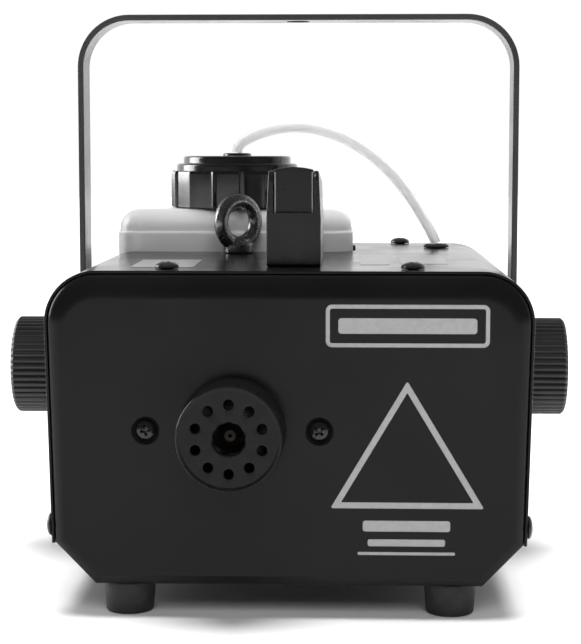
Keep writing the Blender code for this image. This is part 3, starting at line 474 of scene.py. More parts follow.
# A noise is (feature size in metres, detail, roughness, stretch). rough is a noise and how far the
# roughness moves with it. tint is a noise, the colour it mixes in and the noise values where the mix
# starts and ends. Each of the bumps is a noise, a depth in metres and a strength.
COAT_BUMPS = [((0.0011, 2.0), 0.00003, 0.5), ((0.00035, 1.0), 0.00001, 0.4)]

SPECS = {
    "powder_coat": dict(
        colour=(0.0048, 0.0048, 0.0051), roughness=0.20, Specular_IOR_Level=0.125,
        rough=((0.03, 3.0), 0.025), tint=((0.05, 2.0), (0.006, 0.006, 0.0063)),
        bumps=COAT_BUMPS,
    ),
    "handle_coat": dict(
        colour=(0.036, 0.036, 0.037), roughness=0.24, Specular_IOR_Level=0.2,
        rough=((0.02, 3.0), 0.03), tint=((0.03, 3.0), (0.044, 0.044, 0.045)),
        bumps=COAT_BUMPS,
    ),
    "outlet_paint": dict(
        colour=(0.0055, 0.0055, 0.0058), roughness=0.30, Specular_IOR_Level=0.15,
        rough=((0.008, 3.0), 0.05), bumps=[((0.0008, 2.0), 0.00003, 0.5)],
    ),
    "black_plastic": dict(
        colour=(0.006, 0.006, 0.0063), roughness=0.28, Specular_IOR_Level=0.3,
        rough=((0.012, 3.0), 0.04), bumps=[((0.0004, 1.0), 0.000006, 0.2)],
    ),
    "cap_plastic": dict(
        colour=(0.009, 0.009, 0.0095), roughness=0.20, Coat_Weight=0.25, Coat_Roughness=0.08,
        rough=((0.01, 3.0), 0.04), bumps=[((0.003, 2.0), 0.00004, 0.3)],
    ),
    "knob_plastic": dict(
        colour=(0.012, 0.012, 0.0125), roughness=0.40, Specular_IOR_Level=0.4,
        rough=((0.01, 3.0), 0.05), bumps=[((0.0004, 1.5), 0.00002, 0.4)],
    ),
    "rubber": dict(
        colour=(0.016, 0.016, 0.016), roughness=0.66, Specular_IOR_Level=0.35,
        rough=((0.006, 3.0), 0.08), tint=((0.004, 3.0), (0.026, 0.0255, 0.025), 0.55, 0.8),
        bumps=[((0.0005, 2.0), 0.00003, 0.5)],
    ),
    "tank_plastic": dict(
        colour=(0.60, 0.605, 0.60), roughness=0.42, Subsurface_Weight=0.6,
        Subsurface_Scale=0.006, Subsurface_Radius=(1.0, 1.0, 1.0), rough=((0.02, 3.0), 0.06),
        tint=((0.03, 2.0), (0.57, 0.575, 0.57)),
        bumps=[((0.012, 2.0), 0.0002, 0.35), ((0.0008, 2.0), 0.00002, 0.4)],
    ),
    "clear_hose": dict(
        colour=(0.79, 0.79, 0.79), roughness=0.36, Transmission_Weight=0.78, IOR=1.15,
        Subsurface_Weight=0.6, Subsurface_Scale=0.003, Subsurface_Radius=(1.0, 1.0, 1.0),
        rough=((0.01, 2.0), 0.05), bumps=[((0.004, 2.0), 0.00003, 0.4)],
    ),
    "dark_steel": dict(
        colour=(0.075, 0.074, 0.073), roughness=0.30, metallic=1.0,
        rough=((0.002, 4.0, 0.6), 0.12),
        tint=((0.0015, 4.0, 0.6), (0.16, 0.155, 0.15), 0.5, 0.75),
        bumps=[((0.0012, 3.0), 0.00006, 0.5)],
    ),
    "forged_steel": dict(
        colour=(0.20, 0.196, 0.192), roughness=0.28, metallic=0.95,
        rough=((0.002, 4.0, 0.6), 0.14),
        tint=((0.0012, 4.0, 0.6), (0.42, 0.415, 0.41), 0.52, 0.8),
        bumps=[((0.0022, 3.0), 0.00016, 0.6), ((0.0006, 2.0), 0.00004, 0.5)],
    ),
    "zinc_steel": dict(
        colour=(0.52, 0.52, 0.50), roughness=0.34, metallic=1.0, rough=((0.004, 4.0, 0.6), 0.08),
        tint=((0.008, 3.0), (0.60, 0.58, 0.53)), bumps=[((0.0006, 2.0), 0.00001, 0.5)],
    ),
    "aluminium": dict(
        colour=(0.58, 0.59, 0.60), roughness=0.46, metallic=1.0, rough=((0.003, 4.0), 0.08),
        bumps=[((0.0012, 3.0), 0.00008, 0.6)],
    ),
    "black_screw": dict(
        colour=(0.014, 0.014, 0.014), roughness=0.30, Specular_IOR_Level=0.35,
        rough=((0.002, 3.0, 0.6), 0.06), bumps=[((0.0009, 2.0), 0.00002, 0.4)],
    ),
    # painted shade: a darker copy of the screw finish for the screws sunk in the dimples beside the outlet;
    # its gloss is its own
    "sunk_screw_painted_shade": dict(
        colour=(0.006, 0.006, 0.006), roughness=0.22, Specular_IOR_Level=0.4,
        rough=((0.001, 3.0), 0.08), bumps=[((0.0006, 2.0), 0.00001, 0.4)],
    ),
    # painted shade: brass darkened nearly to black for the shade deep in the outlet's centre hole
    "painted_shade_brass": dict(
        colour=(0.035, 0.028, 0.020), roughness=0.55, metallic=0.6,
        tint=((0.002, 4.0), (0.012, 0.010, 0.009)), bumps=[((0.0008, 3.0), 0.00005, 0.6)],
    ),
    "brass": dict(
        colour=(0.62, 0.46, 0.20), roughness=0.30, metallic=1.0, rough=((0.003, 3.0), 0.1),
        tint=((0.006, 4.0), (0.36, 0.25, 0.12), 0.5, 0.8),
    ),
    "copper": dict(
        colour=(0.70, 0.36, 0.24), roughness=0.28, metallic=1.0, rough=((0.004, 3.0), 0.08),
        tint=((0.008, 4.0), (0.42, 0.20, 0.13), 0.5, 0.8),
    ),
    "coil_wrap": dict(
        colour=(0.12, 0.075, 0.045), roughness=0.6, tint=((0.004, 3.0), (0.18, 0.12, 0.07)),
        bumps=[((0.001, 2.0, 0.5, (1, 1, 9)), 0.0002, 0.6)],
    ),
    "board_green": dict(
        colour=(0.02, 0.13, 0.055), roughness=0.34,
        tint=((0.0016, 0.0), (0.05, 0.22, 0.10), 0.5, 0.56),
        bumps=[((0.0016, 0.0), 0.00004, 0.5)],
    ),
    "loom": dict(
        colour=(0.022, 0.022, 0.022), roughness=0.6, rough=((0.003, 2.0), 0.1),
        bumps=[((0.0012, 2.0, 0.5, (1, 6, 6)), 0.00015, 0.6)],
    ),
    "white_sleeve": dict(
        colour=(0.72, 0.70, 0.65), roughness=0.82, tint=((0.002, 3.0), (0.58, 0.55, 0.50)),
        bumps=[((0.0007, 1.0), 0.0001, 0.7)],
    ),
    "switch_red": dict(
        colour=(0.30, 0.012, 0.012), roughness=0.22, Transmission_Weight=0.15,
        rough=((0.005, 2.0), 0.04), bumps=[((0.002, 2.0), 0.00002, 0.3)],
    ),
    "print_grey": dict(
        colour=(0.30, 0.30, 0.30), roughness=0.55, tint=((0.002, 3.0), (0.27, 0.27, 0.27)),
        bumps=[((0.0011, 2.0), 0.00003, 0.4)],
    ),
    # painted highlight: light grey for the thin strips that stand for the light on the remote's rounded front
    # edges
    "painted_highlight_grey": dict(
        colour=(0.20, 0.20, 0.20), roughness=0.3, rough=((0.003, 2.0), 0.08),
        bumps=[((0.0008, 2.0), 0.00001, 0.3)],
    ),
    "label_grey": dict(
        colour=(0.13, 0.13, 0.13), roughness=0.30, Specular_IOR_Level=0.3,
        tint=((0.006, 2.0), (0.15, 0.15, 0.15), 0.45, 0.65),
        bumps=[((0.002, 2.0), 0.00002, 0.3)],
    ),
    "floor_paint": dict(
        colour=(0.86, 0.86, 0.86), roughness=0.6, rough=((0.2, 2.0), 0.05),
        tint=((0.4, 3.0), (0.84, 0.84, 0.84)),
    ),
}


def make_look(name, rough=None, tint=None, bumps=(), **values):
    look = Look(name, **values)
    if rough:
        look.vary_roughness(look.noise(*rough[0]), rough[1])
    if tint:
        look.tint(look.noise(*tint[0]), *tint[1:])
    for noise, *how in bumps:
        look.bump(look.noise(*noise), *how)
    return look.material


LOOKS = {name: make_look(name, **spec) for name, spec in SPECS.items()}


def dress(obj, look):
    obj.data.materials.clear()
    obj.data.materials.append(LOOKS[look])
    return obj


def piece(obj, look, body, slot, *nodes):
    """A finished piece: its material, the body it rides on and the CAD nodes it stands for. The slot argument
    is not used.
    """
    dress(obj, look)
    if body:
        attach(obj, body)
    if nodes:
        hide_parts(*nodes)
    return obj


# ---- camera and hose


def make_camera():
    data = bpy.data.cameras.new("camera")
    data.lens, data.sensor_width = LENS, SENSOR
    camera = bpy.data.objects.new("camera", data)
    camera.location = CAMERA_AT
    camera.rotation_euler = (radians(CAMERA_PITCH), 0.0, radians(CAMERA_TURN))
    bpy.context.scene.collection.objects.link(camera)
    bpy.context.scene.camera = camera


def make_hose():
    """The clear hose between the tank and the machine, in one fixed shape along its route."""
    route = smooth_route(HOSE_ROUTE, 0.003)
    hose = pipe("hose", route, HOSE_R * MM, 20, HOSE_BORE_R * MM)
    dress(hose, "clear_hose")
    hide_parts("tank_hose")
    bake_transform(hose)


# ---- body


def body_outline(pieces=14):
    """The body's outer section as (x, up), counter-clockwise; the sides lean in towards the base."""
    lean = degrees(atan2(HALF_WIDTH - HALF_WIDTH_LOW, COVER_DROP - CORNER_R))
    centre = (HALF_WIDTH - CORNER_R, -CORNER_R)
    right = arc(centre, CORNER_R, 90, -lean, pieces)[::-1]
    skin = SHEET + GAP
    base = [(CHAMFER_X + skin * 0.4, -BODY_HEIGHT - skin), (HALF_WIDTH_LOW, -COVER_DROP - skin * 0.1)]
    right = base + right
    return right + [(-x, up) for x, up in right[::-1]]


def half_width_at(up):
    """The cover's outer half width at a height on its flat side."""
    return HALF_WIDTH - (HALF_WIDTH - HALF_WIDTH_LOW) * (-CORNER_R - up) / (COVER_DROP - CORNER_R)


def tank_span():
    """The tank's plan as x and back, from the frame."""
    low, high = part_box("tank")
    x = ((low.x - CENTRE_X) / MM, (high.x - CENTRE_X) / MM)
    return x, ((low.y - FRONT_Y) / MM, (high.y - FRONT_Y) / MM)


def tank_plan(grow):
    x, back = tank_span()
    x, back = (x[0] - grow, x[1] + grow), (back[0] - grow, back[1] + grow)
    return rounded(x, back, TANK_CORNER + grow, 10)


def screw_spots():
    return [(side * SCREW_X, back) for side in (-1, 1) for back in (SCREW_FRONT, SCREW_REAR)]


def screw_holes():
    """Cutters for the screws' holes in the chassis and the cover."""
    holes = []
    for x, back in screw_spots():
        holes.append(rod("screw_hole", SCREW_HOLE_R, (-12, 8), (x, back, 0), UPWARD))
    for back in (SIDE_SCREW_FRONT, SIDE_SCREW_REAR):
        spot = (0, back, SIDE_SCREW_UP)
        holes.append(rod("side_hole", SCREW_HOLE_R, (-120, 120), spot, ACROSS))
    return holes


def side_inset(depth):
    """How far in the chassis' outline is at a depth behind its face: a short chamfer with soft edges."""
    points = ((0.0, 1.09), (0.09, 0.9), (0.82, 0.04), (1.0, 0.0))
    for (d0, i0), (d1, i1) in zip(points, points[1:]):
        if depth <= d1:
            return i0 + (i1 - i0) * (depth - d0) / (d1 - d0)
    return 0.0


def rolled(name, outline, span, radius, roll):
    """The chassis' solid shape: chamfered rims at the front and back, rolled wider along the top."""
    turn = [radians(90 * k / 10) for k in range(11)]
    levels = [(span[0] + radius * (1 - sin(a)), 1 - sin(a), 1 - cos(a), roll) for a in turn[::-1]]
    levels += [(span[1] - radius * (1 - sin(a)), 1 - sin(a), 1 - cos(a), roll) for a in turn]
    rings = []
    for level, depth, share, wide in levels:
        side = inset(outline, max(1e-4, radius * side_inset(depth)))
        top = inset(outline, max(1e-4, wide * share))
        ring = []
        for (x, up), (top_x, top_up), (_, full_up) in zip(side, top, outline):
            much = min(1.0, max(0.0, (full_up + 2 * CORNER_R) / (2 * CORNER_R)))
            much = much * much * (3 - 2 * much)
            ring.append(at(x + (top_x - x) * much, level, up + (top_up - up) * much))
        rings.append(ring)
    return loft(name, rings)


def make_chassis():
    outer = inset(body_outline(), SHEET + GAP)
    chassis = rolled("chassis_shell", outer, (0, DEPTH), RIM_R, ROLL)
    inside = (SHEET, DEPTH - SHEET)
    hollow = rolled("hollow", inset(outer, SHEET), inside, RIM_R - SHEET, ROLL - SHEET)
    cut(chassis, hollow)
    tools = [prism("window", rounded((-130, 130), (-97, 30), 2, 1), "Y", (FLANGE, DEPTH - FLANGE))]
    tools.append(prism("bay", tank_plan(1.6), "Z", (-40, 20)))
    bosses = []
    for side in (-1, 1):
        x = NOZZLE_X + side * FLANK_SPAN
        back = [(0, 2.9), (6.4, 2.9), (7.4, 0.9), (0, 0.9)]
        bosses.append(turned("boss", back, (x, 0, NOZZLE_UP), REARWARD, 32))
        bowl = [(0, 8), (2.3, 8), (2.3, 1.7), (3.6, 1.7), (4.4, 1.45), (5.0, 0.7), (5.7, 0.15)]
        bowl += [(6.6, -0.4), (0, -0.4)]
        tools.append(turned("bowl", bowl, (x, 0, NOZZLE_UP), REARWARD, 40))
    join(chassis, *bosses)
    tools.append(rod("outlet_hole", 9.0, (-4, 8), NOZZLE_AT, REARWARD, 40))
    tools += screw_holes()
    for side in (-1, 1):
        for back in (FOOT_FRONT, FOOT_REAR):
            tools.append(rod("foot_hole", 3.6, (-4, 4), (side * FOOT_X, back, -BODY_HEIGHT), UPWARD))
    for i in range(5):
        slot = rounded((-44, -1), about(56 + 10 * i, 2.0), 1.8, 5)
        tools.append(prism("vent", slot, "Z", (-BODY_HEIGHT - 5, -BODY_HEIGHT + 5)))
    wall = (DEPTH - 8, DEPTH + 4)
    for name, x, up, half_x, half_up, r in (
        ("inlet_hole", INLET_X, INLET_UP, 14.2, 10.8, 1.5),
        ("switch_hole", SWITCH_X, SWITCH_UP, 9.8, 6.8, 1),
    ):
        tools.append(prism(name, rounded(about(x, half_x), about(up, half_up), r, 3), "Y", wall))
    tools.append(rod("socket_hole", 8.0, (-4, 4), (SOCKET_X, DEPTH, SOCKET_UP), REARWARD, 40))
    cut(chassis, *tools)
    piece(chassis, "powder_coat", "machine", "powder_coat", "chassis")


def make_cover():
    """The cover's section is a strip along the outline, open at the bottom."""
    outer = [p for p in body_outline(20) if p[1] >= -COVER_DROP + 1]
    outer = [(HALF_WIDTH_LOW, -COVER_DROP), *outer, (-HALF_WIDTH_LOW, -COVER_DROP)]
    padded_outline = [*outer, (-HALF_WIDTH_LOW, -COVER_DROP - 40), (HALF_WIDTH_LOW, -COVER_DROP - 40)]
    inner = inset(padded_outline, SHEET)[: len(outer)]
    inner[0] = (inner[0][0], -COVER_DROP)
    inner[-1] = (inner[-1][0], -COVER_DROP)
    section = outer + inner[::-1]
    span = (COVER_SET_BACK, DEPTH - COVER_SET_BACK)
    cover = prism("cover_shell", section, "Y", span, 0.45, 3)
    tools = [prism("tank_bay", tank_plan(1.3), "Z", (-30, 20)), *screw_holes()]
    tools.append(rod("pivot_hole", 4.5, (-120, 120), PIVOT_AT, ACROSS))
    tools.append(rod("eye_hole", 4.4, (-8, 8), (EYE_X, EYE_BACK, 0), UPWARD))
    tools.append(rod("grommet_hole", 4.8, (-8, 8), GROMMET_AT, UPWARD, 32))
    cut(cover, *tools)
    piece(cover, "powder_coat", "machine", "powder_coat", "top_cover")


def cross_recess(name, reach, depth, origin, axis, turn):
    """A tapered cross that cuts a screw head's recess."""
    spot = basis(origin, axis) @ Matrix.Rotation(turn, 4, "Z")
    wide, low = reach * 0.24, reach * 0.5
    plans = []
    for k in range(4):
        spin = Matrix.Rotation(k * pi / 2, 2)
        for x, y in ((reach, -wide), (reach, wide), (wide, wide)):
            plans.append(spin @ Vector((x, y)))
    top = [spot @ Vector((p.x, p.y, 1.0)) for p in plans]
    middle = [spot @ Vector((p.x, p.y, -depth * 0.3)) for p in plans]
    bottom = [spot @ Vector((p.x * low / reach, p.y * low / reach, -depth)) for p in plans]
    return loft(name, [top, middle, bottom])


def make_screw(name, radius, tall, origin, axis, turn, look, node):
    """A pan-head screw with a cross recess; its head's underside is at the origin."""
    head = arc((0, 0), 1.0, 90, 12, 8)
    profile = [(x * radius, (0.18 + 0.82 * y) * tall) for x, y in head]
    profile += [(radius, tall * 0.16), (radius * 0.985, 0), (2.3, 0), (2.3, -7.8), (0, -7.8)]
    profile[0] = (0, profile[0][1])
    screw = turned(name, profile, origin, axis, 36, smooth=50)
    top = Vector(origin) + Vector(axis) * tall
    cut(screw, cross_recess("recess", radius * 0.56, tall * 0.75, tuple(top), axis, turn))
    piece(screw, look, "machine", "dark_steel", node)


def make_screws():
    words = ("left_front", "left_rear", "right_front", "right_rear")
    for i, (word, (x, back)) in enumerate(zip(words, screw_spots())):
        name, node, turn = f"cover_screw_{word}", f"top_screw_{word}", 0.4 + i * 1.3
        make_screw(name, 4.85, 2.7, (x, back, GAP), UPWARD, turn, "black_screw", node)
    edge = half_width_at(SIDE_SCREW_UP) + GAP
    for side, word in SIDES:
        for end, back in (("front", SIDE_SCREW_FRONT), ("rear", SIDE_SCREW_REAR)):
            spot, turn = (side * edge, back, SIDE_SCREW_UP), 0.7 * side + back
            name, node = f"lower_screw_{word}_{end}", f"side_screw_{word}_{end}"
            make_screw(name, 4.7, 2.1, spot, (side, 0, 0), turn, "black_screw", node)
        spot, turn = (NOZZLE_X + side * FLANK_SPAN, 1.4, NOZZLE_UP), 0.5 + side * 0.3
        name, node = f"outlet_screw_{word}", f"heater_screw_{word}"
        # These screws take the darker screw finish: painted shade for their dimples.
        make_screw(name, 3.9, 2.2, spot, FRONTWARD, turn, "sunk_screw_painted_shade", node)


def make_feet():
    """Turned feet with a barb that holds each in its hole, and a small hollow underneath."""
    low, top = -BODY_HEIGHT - FOOT_TALL, -BODY_HEIGHT - GAP
    above = -BODY_HEIGHT + SHEET + GAP
    wall = [(3.2, above), (3.2, top), (10.9, top), (9.75, low), (6.0, low)]
    profile = [(0, above + 3), (3.0, above + 3), (5.0, above)]
    profile += [*soft(wall, 0.9, 4), (5.2, low + 0.8), (0, low + 0.8)]
    for side, word in SIDES:
        for end, back in (("front", FOOT_FRONT), ("rear", FOOT_REAR)):
            foot = turned(f"rubber_foot_{word}_{end}", profile, (side * FOOT_X, back, 0), UPWARD)
            piece(foot, "rubber", "machine", "rubber", f"foot_{word}_{end}")


# ---- fog outlet


def make_outlet():
    """A cup with a raised lip, its face pierced by the centre hole and a ring of jets."""
    out, r, hole = NOZZLE_OUT, NOZZLE_R, NOZZLE_HOLE_R
    rim = [(hole + 0.6, out), (r - 2.0, out), (r - 1.5, out + 0.12), (r - 1.1, out + 0.4)]
    rim += [(r - 0.6, out + 0.42), (r - 0.1, out), (r, out - 0.6), (r + 0.25, out * 0.6)]
    rim += [(r + 0.7, GAP + 0.4), (r + 0.6, GAP), (r - 2, GAP), (r - 2, out - 2.6)]
    rim += [(hole, out - 2.6), (hole, out - 0.6)]
    cup = turned("outlet_cup", rim, NOZZLE_AT, FRONTWARD, 96, closed=True, smooth=40)
    tools = []
    jet = [(0, 4), (JET_R + 0.45, 4), (JET_R + 0.45, 0.15), (JET_R, -0.3), (JET_R, -6), (0, -6)]
    for i in range(JETS):
        turn = tau * i / JETS
        x, up = NOZZLE_X + JET_RING_R * sin(turn), NOZZLE_UP + JET_RING_R * cos(turn)
        tools.append(turned("jet", jet, (x, -out, up), (0, -1, 0), 20))
    cut(cup, *tools)
    piece(cup, "outlet_paint", "machine", "powder_coat", "nozzle_cup")
    make_outlet_tube()


def make_outlet_tube():
    """The heater's brass outlet with its hexagon, behind the cup's centre hole."""
    profile = [(0.8, 12), (2.2, 12), (2.6, 11.6), (4.5, 9), (4.6, 8.6), (4.6, 1), (4.6, -21.4), (0.8, -21.4)]
    tube = turned("outlet_tube", profile, NOZZLE_AT, FRONTWARD, 36, closed=True)
    spot = basis(NOZZLE_AT, FRONTWARD)
    rings = []
    for level, radius in ((1.0, 5.9), (0.6, 6.4), (-5.6, 6.4), (-6.0, 5.9)):
        corners = [(radius * cos(tau * k / 6), radius * sin(tau * k / 6), level) for k in range(6)]
        rings.append([spot @ Vector(corner) for corner in corners])
    join(tube, cut(loft("hexagon", rings), rod("bore", 2.0, (-30, 30), NOZZLE_AT, FRONTWARD)))
    # The tube's brass is darkened nearly to black: painted shade for the depth of the outlet's hole.
    piece(tube, "painted_shade_brass", "machine", "brass", "nozzle_tube")


# ---- handle and knobs


def make_handle():
    """A flat strip bent over its length: rings across the strip run up one leg and down the other."""
    half, top, r = HANDLE_HALF - STRIP / 2, HANDLE_TOP - STRIP / 2, HANDLE_R - STRIP / 2
    line = [(half, PIVOT_UP - 12), (half, PIVOT_UP), (half, 0), *arc((half - r, top - r), r, 0, 90, 16)]
    line += [*arc((r - half, top - r), r, 90, 180, 16), (-half, 0), (-half, PIVOT_UP), (-half, PIVOT_UP - 12)]
    section = rounded(about(0, STRIP / 2), about(0, STRIP_WIDE / 2), 0.5, 3)
    rings = []
    for i, here in enumerate(line):
        ahead = Vector(line[min(i + 1, len(line) - 1)]) - Vector(line[max(i - 1, 0)])
        ahead.normalize()
        out = Vector((ahead.y, -ahead.x))
        rings.append([at(here[0] + out.x * a, PIVOT_BACK + b, here[1] + out.y * a) for a, b in section])
    handle = loft("bail_handle", rings)
    wide, narrow = 15, STRIP_WIDE / 2
    ends = [(PIVOT_BACK + wide, HANDLE_TOP + 20), (PIVOT_BACK - wide, HANDLE_TOP + 20)]
    ends += [(PIVOT_BACK - wide, PIVOT_UP + 20), (PIVOT_BACK - narrow, PIVOT_UP + 10)]
    ends += arc((PIVOT_BACK, PIVOT_UP), narrow, 180, 360, 24)
    ends += [(PIVOT_BACK + narrow, PIVOT_UP + 10), (PIVOT_BACK + wide, PIVOT_UP + 20)]
    combine(handle, [prism("ends", ends, "X", (-130, 130))], "INTERSECT")
    pivot = rod("pivot", 4.3, (-130, 130), PIVOT_AT, ACROSS, 32)
    cut(handle, pivot, rod("clamp_hole", 5.3, (-6, 6), (0, PIVOT_BACK, HANDLE_TOP), UPWARD, 40))
    piece(handle, "handle_coat", "handle", "powder_coat", "handle")


def flute_depth(turn):
    """How far the knob's surface lies inside its outer radius at an angle: round ridges, sharp valleys."""
    phase = turn * FLUTES / tau % 1.0
    return 0.85 * (1 - abs(sin(pi * phase)) ** 0.7)


def make_knob(word, side, start):
    """A fluted knob with a shallow recessed face; start is where its inner face is."""
    sides = FLUTES * 8
    spot = basis(PIVOT_AT, (side, 0, 0))
    long = KNOB_LONG
    levels = [(0.0, 0.6, 0.4), (0.5, 0.1, 1.0), (1.2, 0.0, 1.0), (long - 1.7, 0.0, 1.0)]
    levels += [(long - 1.3, 0.12, 1.0), (long - 0.4, 1.0, 1.0), (long - 0.1, 1.4, 0.9)]
    levels += [(long, 1.9, 0.6), (long, 2.6, 0.0), (long, 4.2, 0.0), (long - 0.5, 4.9, 0.0)]
    levels += [(long - 0.6, 6.2, 0.0)]
    rings = []
    for height, depth, share in levels:
        ring = []
        for k in range(sides):
            turn = tau * k / sides
            r = KNOB_R - depth - flute_depth(turn) * share
            ring.append(spot @ Vector((r * cos(turn), r * sin(turn), start + height)))
        rings.append(ring)
    knob = loft(f"clamp_knob_{word}", rings, smooth=50)
    cut(knob, rod("bore", 4.3, (start - 5, start + 16), PIVOT_AT, (side, 0, 0), 32))
    piece(knob, "knob_plastic", f"knob_{word}", "knob_plastic", f"knob_{word}")


def make_clamps():
    left = -(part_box("knob_left")[1].x - CENTRE_X) / MM
    right = (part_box("knob_right")[0].x - CENTRE_X) / MM
    make_knob("left", -1, left)
    make_knob("right", 1, right)
    spacer = [(4.3, left - GAP), (12.0, left - GAP), (12.0, HANDLE_HALF + GAP), (4.3, HANDLE_HALF + GAP)]
    ring = turned("spacer", soft(spacer, 0.6, 3, True), PIVOT_AT, (-1, 0, 0), closed=True)
    piece(ring, "rubber", "knob_left", "rubber", "knob_spacer_left")


# ---- tank


def tank_levels():
    """The tank's outside as (height, how far in from the seam's outline), base to neck shoulder."""
    bottom = (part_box("tank")[0].z - TOP_Z) / MM
    r = TANK_SHOULDER
    turn = [radians(90 * k / 8) for k in range(9)]
    levels = [(bottom + r * (1 - sin(a)), r * (1 - cos(a))) for a in turn[::-1]]
    levels += [(-20.0, 0.0), (TANK_SEAM - 1.2, 0.0), (TANK_SEAM - 0.5, 0.02), (TANK_SEAM - 0.1, 0.35)]
    levels += [(TANK_SEAM, TANK_STEP)]
    levels += [(TANK_DOME - r * (1 - sin(a)), TANK_STEP + r * (1 - cos(a))) for a in turn]
    return levels


def make_tank():
    plan = tank_plan(0)
    rings = []
    for level, depth in tank_levels():
        rings.append([at(a, b, level) for a, b in (inset(plan, depth) if depth else plan)])
    tank = loft("fluid_tank", rings, smooth=50)
    collar = [(0, NECK_TOP), (NECK_R - 0.4, NECK_TOP), (NECK_R, NECK_TOP - 0.4)]
    for i in range(3):
        up = NECK_TOP - 3 - 4 * i
        collar += [(NECK_R - 0.9, up + 1.4), (NECK_R, up + 0.5), (NECK_R, up - 0.1), (NECK_R - 0.9, up - 1.0)]
    collar += [(NECK_R - 0.9, 12.0), (0, 12.0)]
    join(tank, turned("collar", collar, CAP_AT, UPWARD, 64))
    inner = []
    for level, depth in tank_levels():
        if level < -40:
            level += TANK_WALL
        elif level > TANK_SEAM + 1:
            level -= TANK_WALL
        inner.append([at(a, b, level) for a, b in inset(plan, depth + TANK_WALL)])
    hollow = loft("hollow", inner)
    cut(tank, hollow, rod("neck_bore", NECK_R - 2.5, (0, 50), CAP_AT, UPWARD, 64))
    piece(tank, "tank_plastic", "tank", "tank_plastic", "tank")


def cap_radius(turn):
    """The cap's grip outline: wide, slightly hollow flats between narrow raised ribs."""
    share = (turn - radians(CAP_TURN)) * CAP_GRIPS / tau % 1.0
    from_rib = min(share, 1.0 - share)
    if from_rib < 0.035:
        return CAP_R
    if from_rib < 0.07:
        return CAP_R - 1.1 * (from_rib - 0.035) / 0.035
    return CAP_R - 1.1 - 0.55 * sin(pi * (from_rib - 0.07) / 0.86)


def make_cap():
    sides = CAP_GRIPS * 24
    levels = [(CAP_LOW, 0.5, 1.0), (CAP_LOW + 0.5, 0.0, 1.0), (CAP_GRIP_TOP - 1.6, 0.0, 1.0)]
    levels += [(CAP_GRIP_TOP - 0.7, 0.15, 1.0), (CAP_GRIP_TOP - 0.2, 0.6, 0.9), (CAP_GRIP_TOP, 1.3, 0.6)]
    rings = []
    for height, depth, share in levels:
        ring = []
        for k in range(sides):
            turn = tau * k / sides
            r = CAP_R - (CAP_R - cap_radius(turn)) * share - depth
            ring.append(at(CAP_X + r * cos(turn), CAP_BACK + r * sin(turn), height))
        rings.append(ring)
    cap = loft("fluid_cap", rings, smooth=40)
    crown = [(0, BOSS_TOP), (6.2, BOSS_TOP), (6.9, BOSS_TOP - 0.5), (7.1, CAP_TOP), (25.4, CAP_TOP)]
    crown += [(26.2, CAP_TOP - 0.7), (26.3, CAP_STEP_TOP), (28.6, CAP_STEP_TOP), (29.5, CAP_STEP_TOP - 0.8)]
    crown += [(29.6, CAP_GRIP_TOP - 2), (0, CAP_GRIP_TOP - 2)]
    join(cap, turned("crown", soft(crown, 0.5, 3), CAP_AT, UPWARD, 96))
    hollow = rod("hollow", NECK_R + 0.8, (10, 41.2), CAP_AT, UPWARD, 72)
    cut(cap, hollow, rod("hose_hole", HOSE_R + 0.4, (30, 60), CAP_AT, UPWARD, 32))
    piece(cap, "cap_plastic", "cap", "black_plastic", "tank_cap")


def make_grommet():
    collar = [(2.9, 1.9), (5.0, 1.9), (6.2, 1.0), (6.2, GAP), (4.4, GAP), (4.4, -1.5), (6.2, -1.5)]
    collar += [(6.2, -2.6), (4.8, -4.0), (2.9, -4.0)]
    grommet = turned("grommet", soft(collar, 0.4, 3, True), GROMMET_AT, UPWARD, closed=True)
    piece(grommet, "rubber", "machine", "rubber", "hose_grommet")


# ---- top fittings


def make_eyebolt():
    ring_r, wire = EYE_RING_R, EYE_WIRE_R
    turn = Matrix.Rotation(radians(EYE_TURN), 4, "Z") @ Matrix.Rotation(pi / 2, 4, "X")
    spot = Matrix.Translation(at(EYE_X, EYE_BACK, EYE_UP)) @ turn @ Matrix.Scale(MM, 4)
    rings = []
    for k in range(56):
        a = tau * k / 56
        thick = wire * (1.0 + 0.10 * max(0.0, -sin(a)) ** 2)
        row = []
        for j in range(24):
            b = tau * j / 24
            r = ring_r + thick * cos(b)
            row.append(spot @ Vector((r * cos(a), r * sin(a), wire * sin(b) * 0.98)))
        rings.append(row)
    eye = loft("lifting_eye", rings, close=True)
    collar = [(4.6, 7.2), (5.4, 5.6), (6.4, 5.0), (7.2, 4.2), (7.2, GAP + 0.4), (6.9, GAP)]
    collar += [(4.0, GAP), (4.0, -11), (0, -11)]
    join(eye, turned("collar", [(0, 7.2), *soft(collar, 0.5, 3)], (EYE_X, EYE_BACK, 0), UPWARD))
    piece(eye, "forged_steel", "machine", "dark_steel", "safety_eyebolt")


def make_holder():
    """A moulded cradle with two tall cheeks, drawn in a little towards the top, and a low front wall."""
    x0, x1 = about(HOLDER_X, HOLDER_WIDE / 2)
    side = [(HOLDER_BACK0, GAP), (HOLDER_BACK1, GAP), (HOLDER_BACK1, HOLDER_TALL_REAR - 3)]
    side += [(HOLDER_BACK1 - 3, HOLDER_TALL_REAR), (HOLDER_BACK0 + 2.5, HOLDER_TALL)]
    side += [(HOLDER_BACK0, HOLDER_TALL - 2)]
    side = soft(side, 1.2, 3, True)
    holder = prism("remote_cradle", side, "X", (x0, x1), 0.6, 3)
    draft_cheeks(holder)
    inner = (x0 + HOLDER_WALL, x1 - HOLDER_WALL)
    tools = [block("pocket", inner, (HOLDER_BACK0 + 2.4, HOLDER_BACK1 - 2.4), (2.3, 60), 0.3)]
    tools.append(block("front", inner, (HOLDER_BACK0 - 5, HOLDER_BACK0 + 10), (HOLDER_LEDGE, 60), 0.3))
    tools.append(block("rear", inner, (HOLDER_BACK1 - 10, HOLDER_BACK1 + 5), (18.0, 60), 0.3))
    cut(holder, *tools)
    piece(holder, "black_plastic", "machine", "black_plastic", "remote_holder")


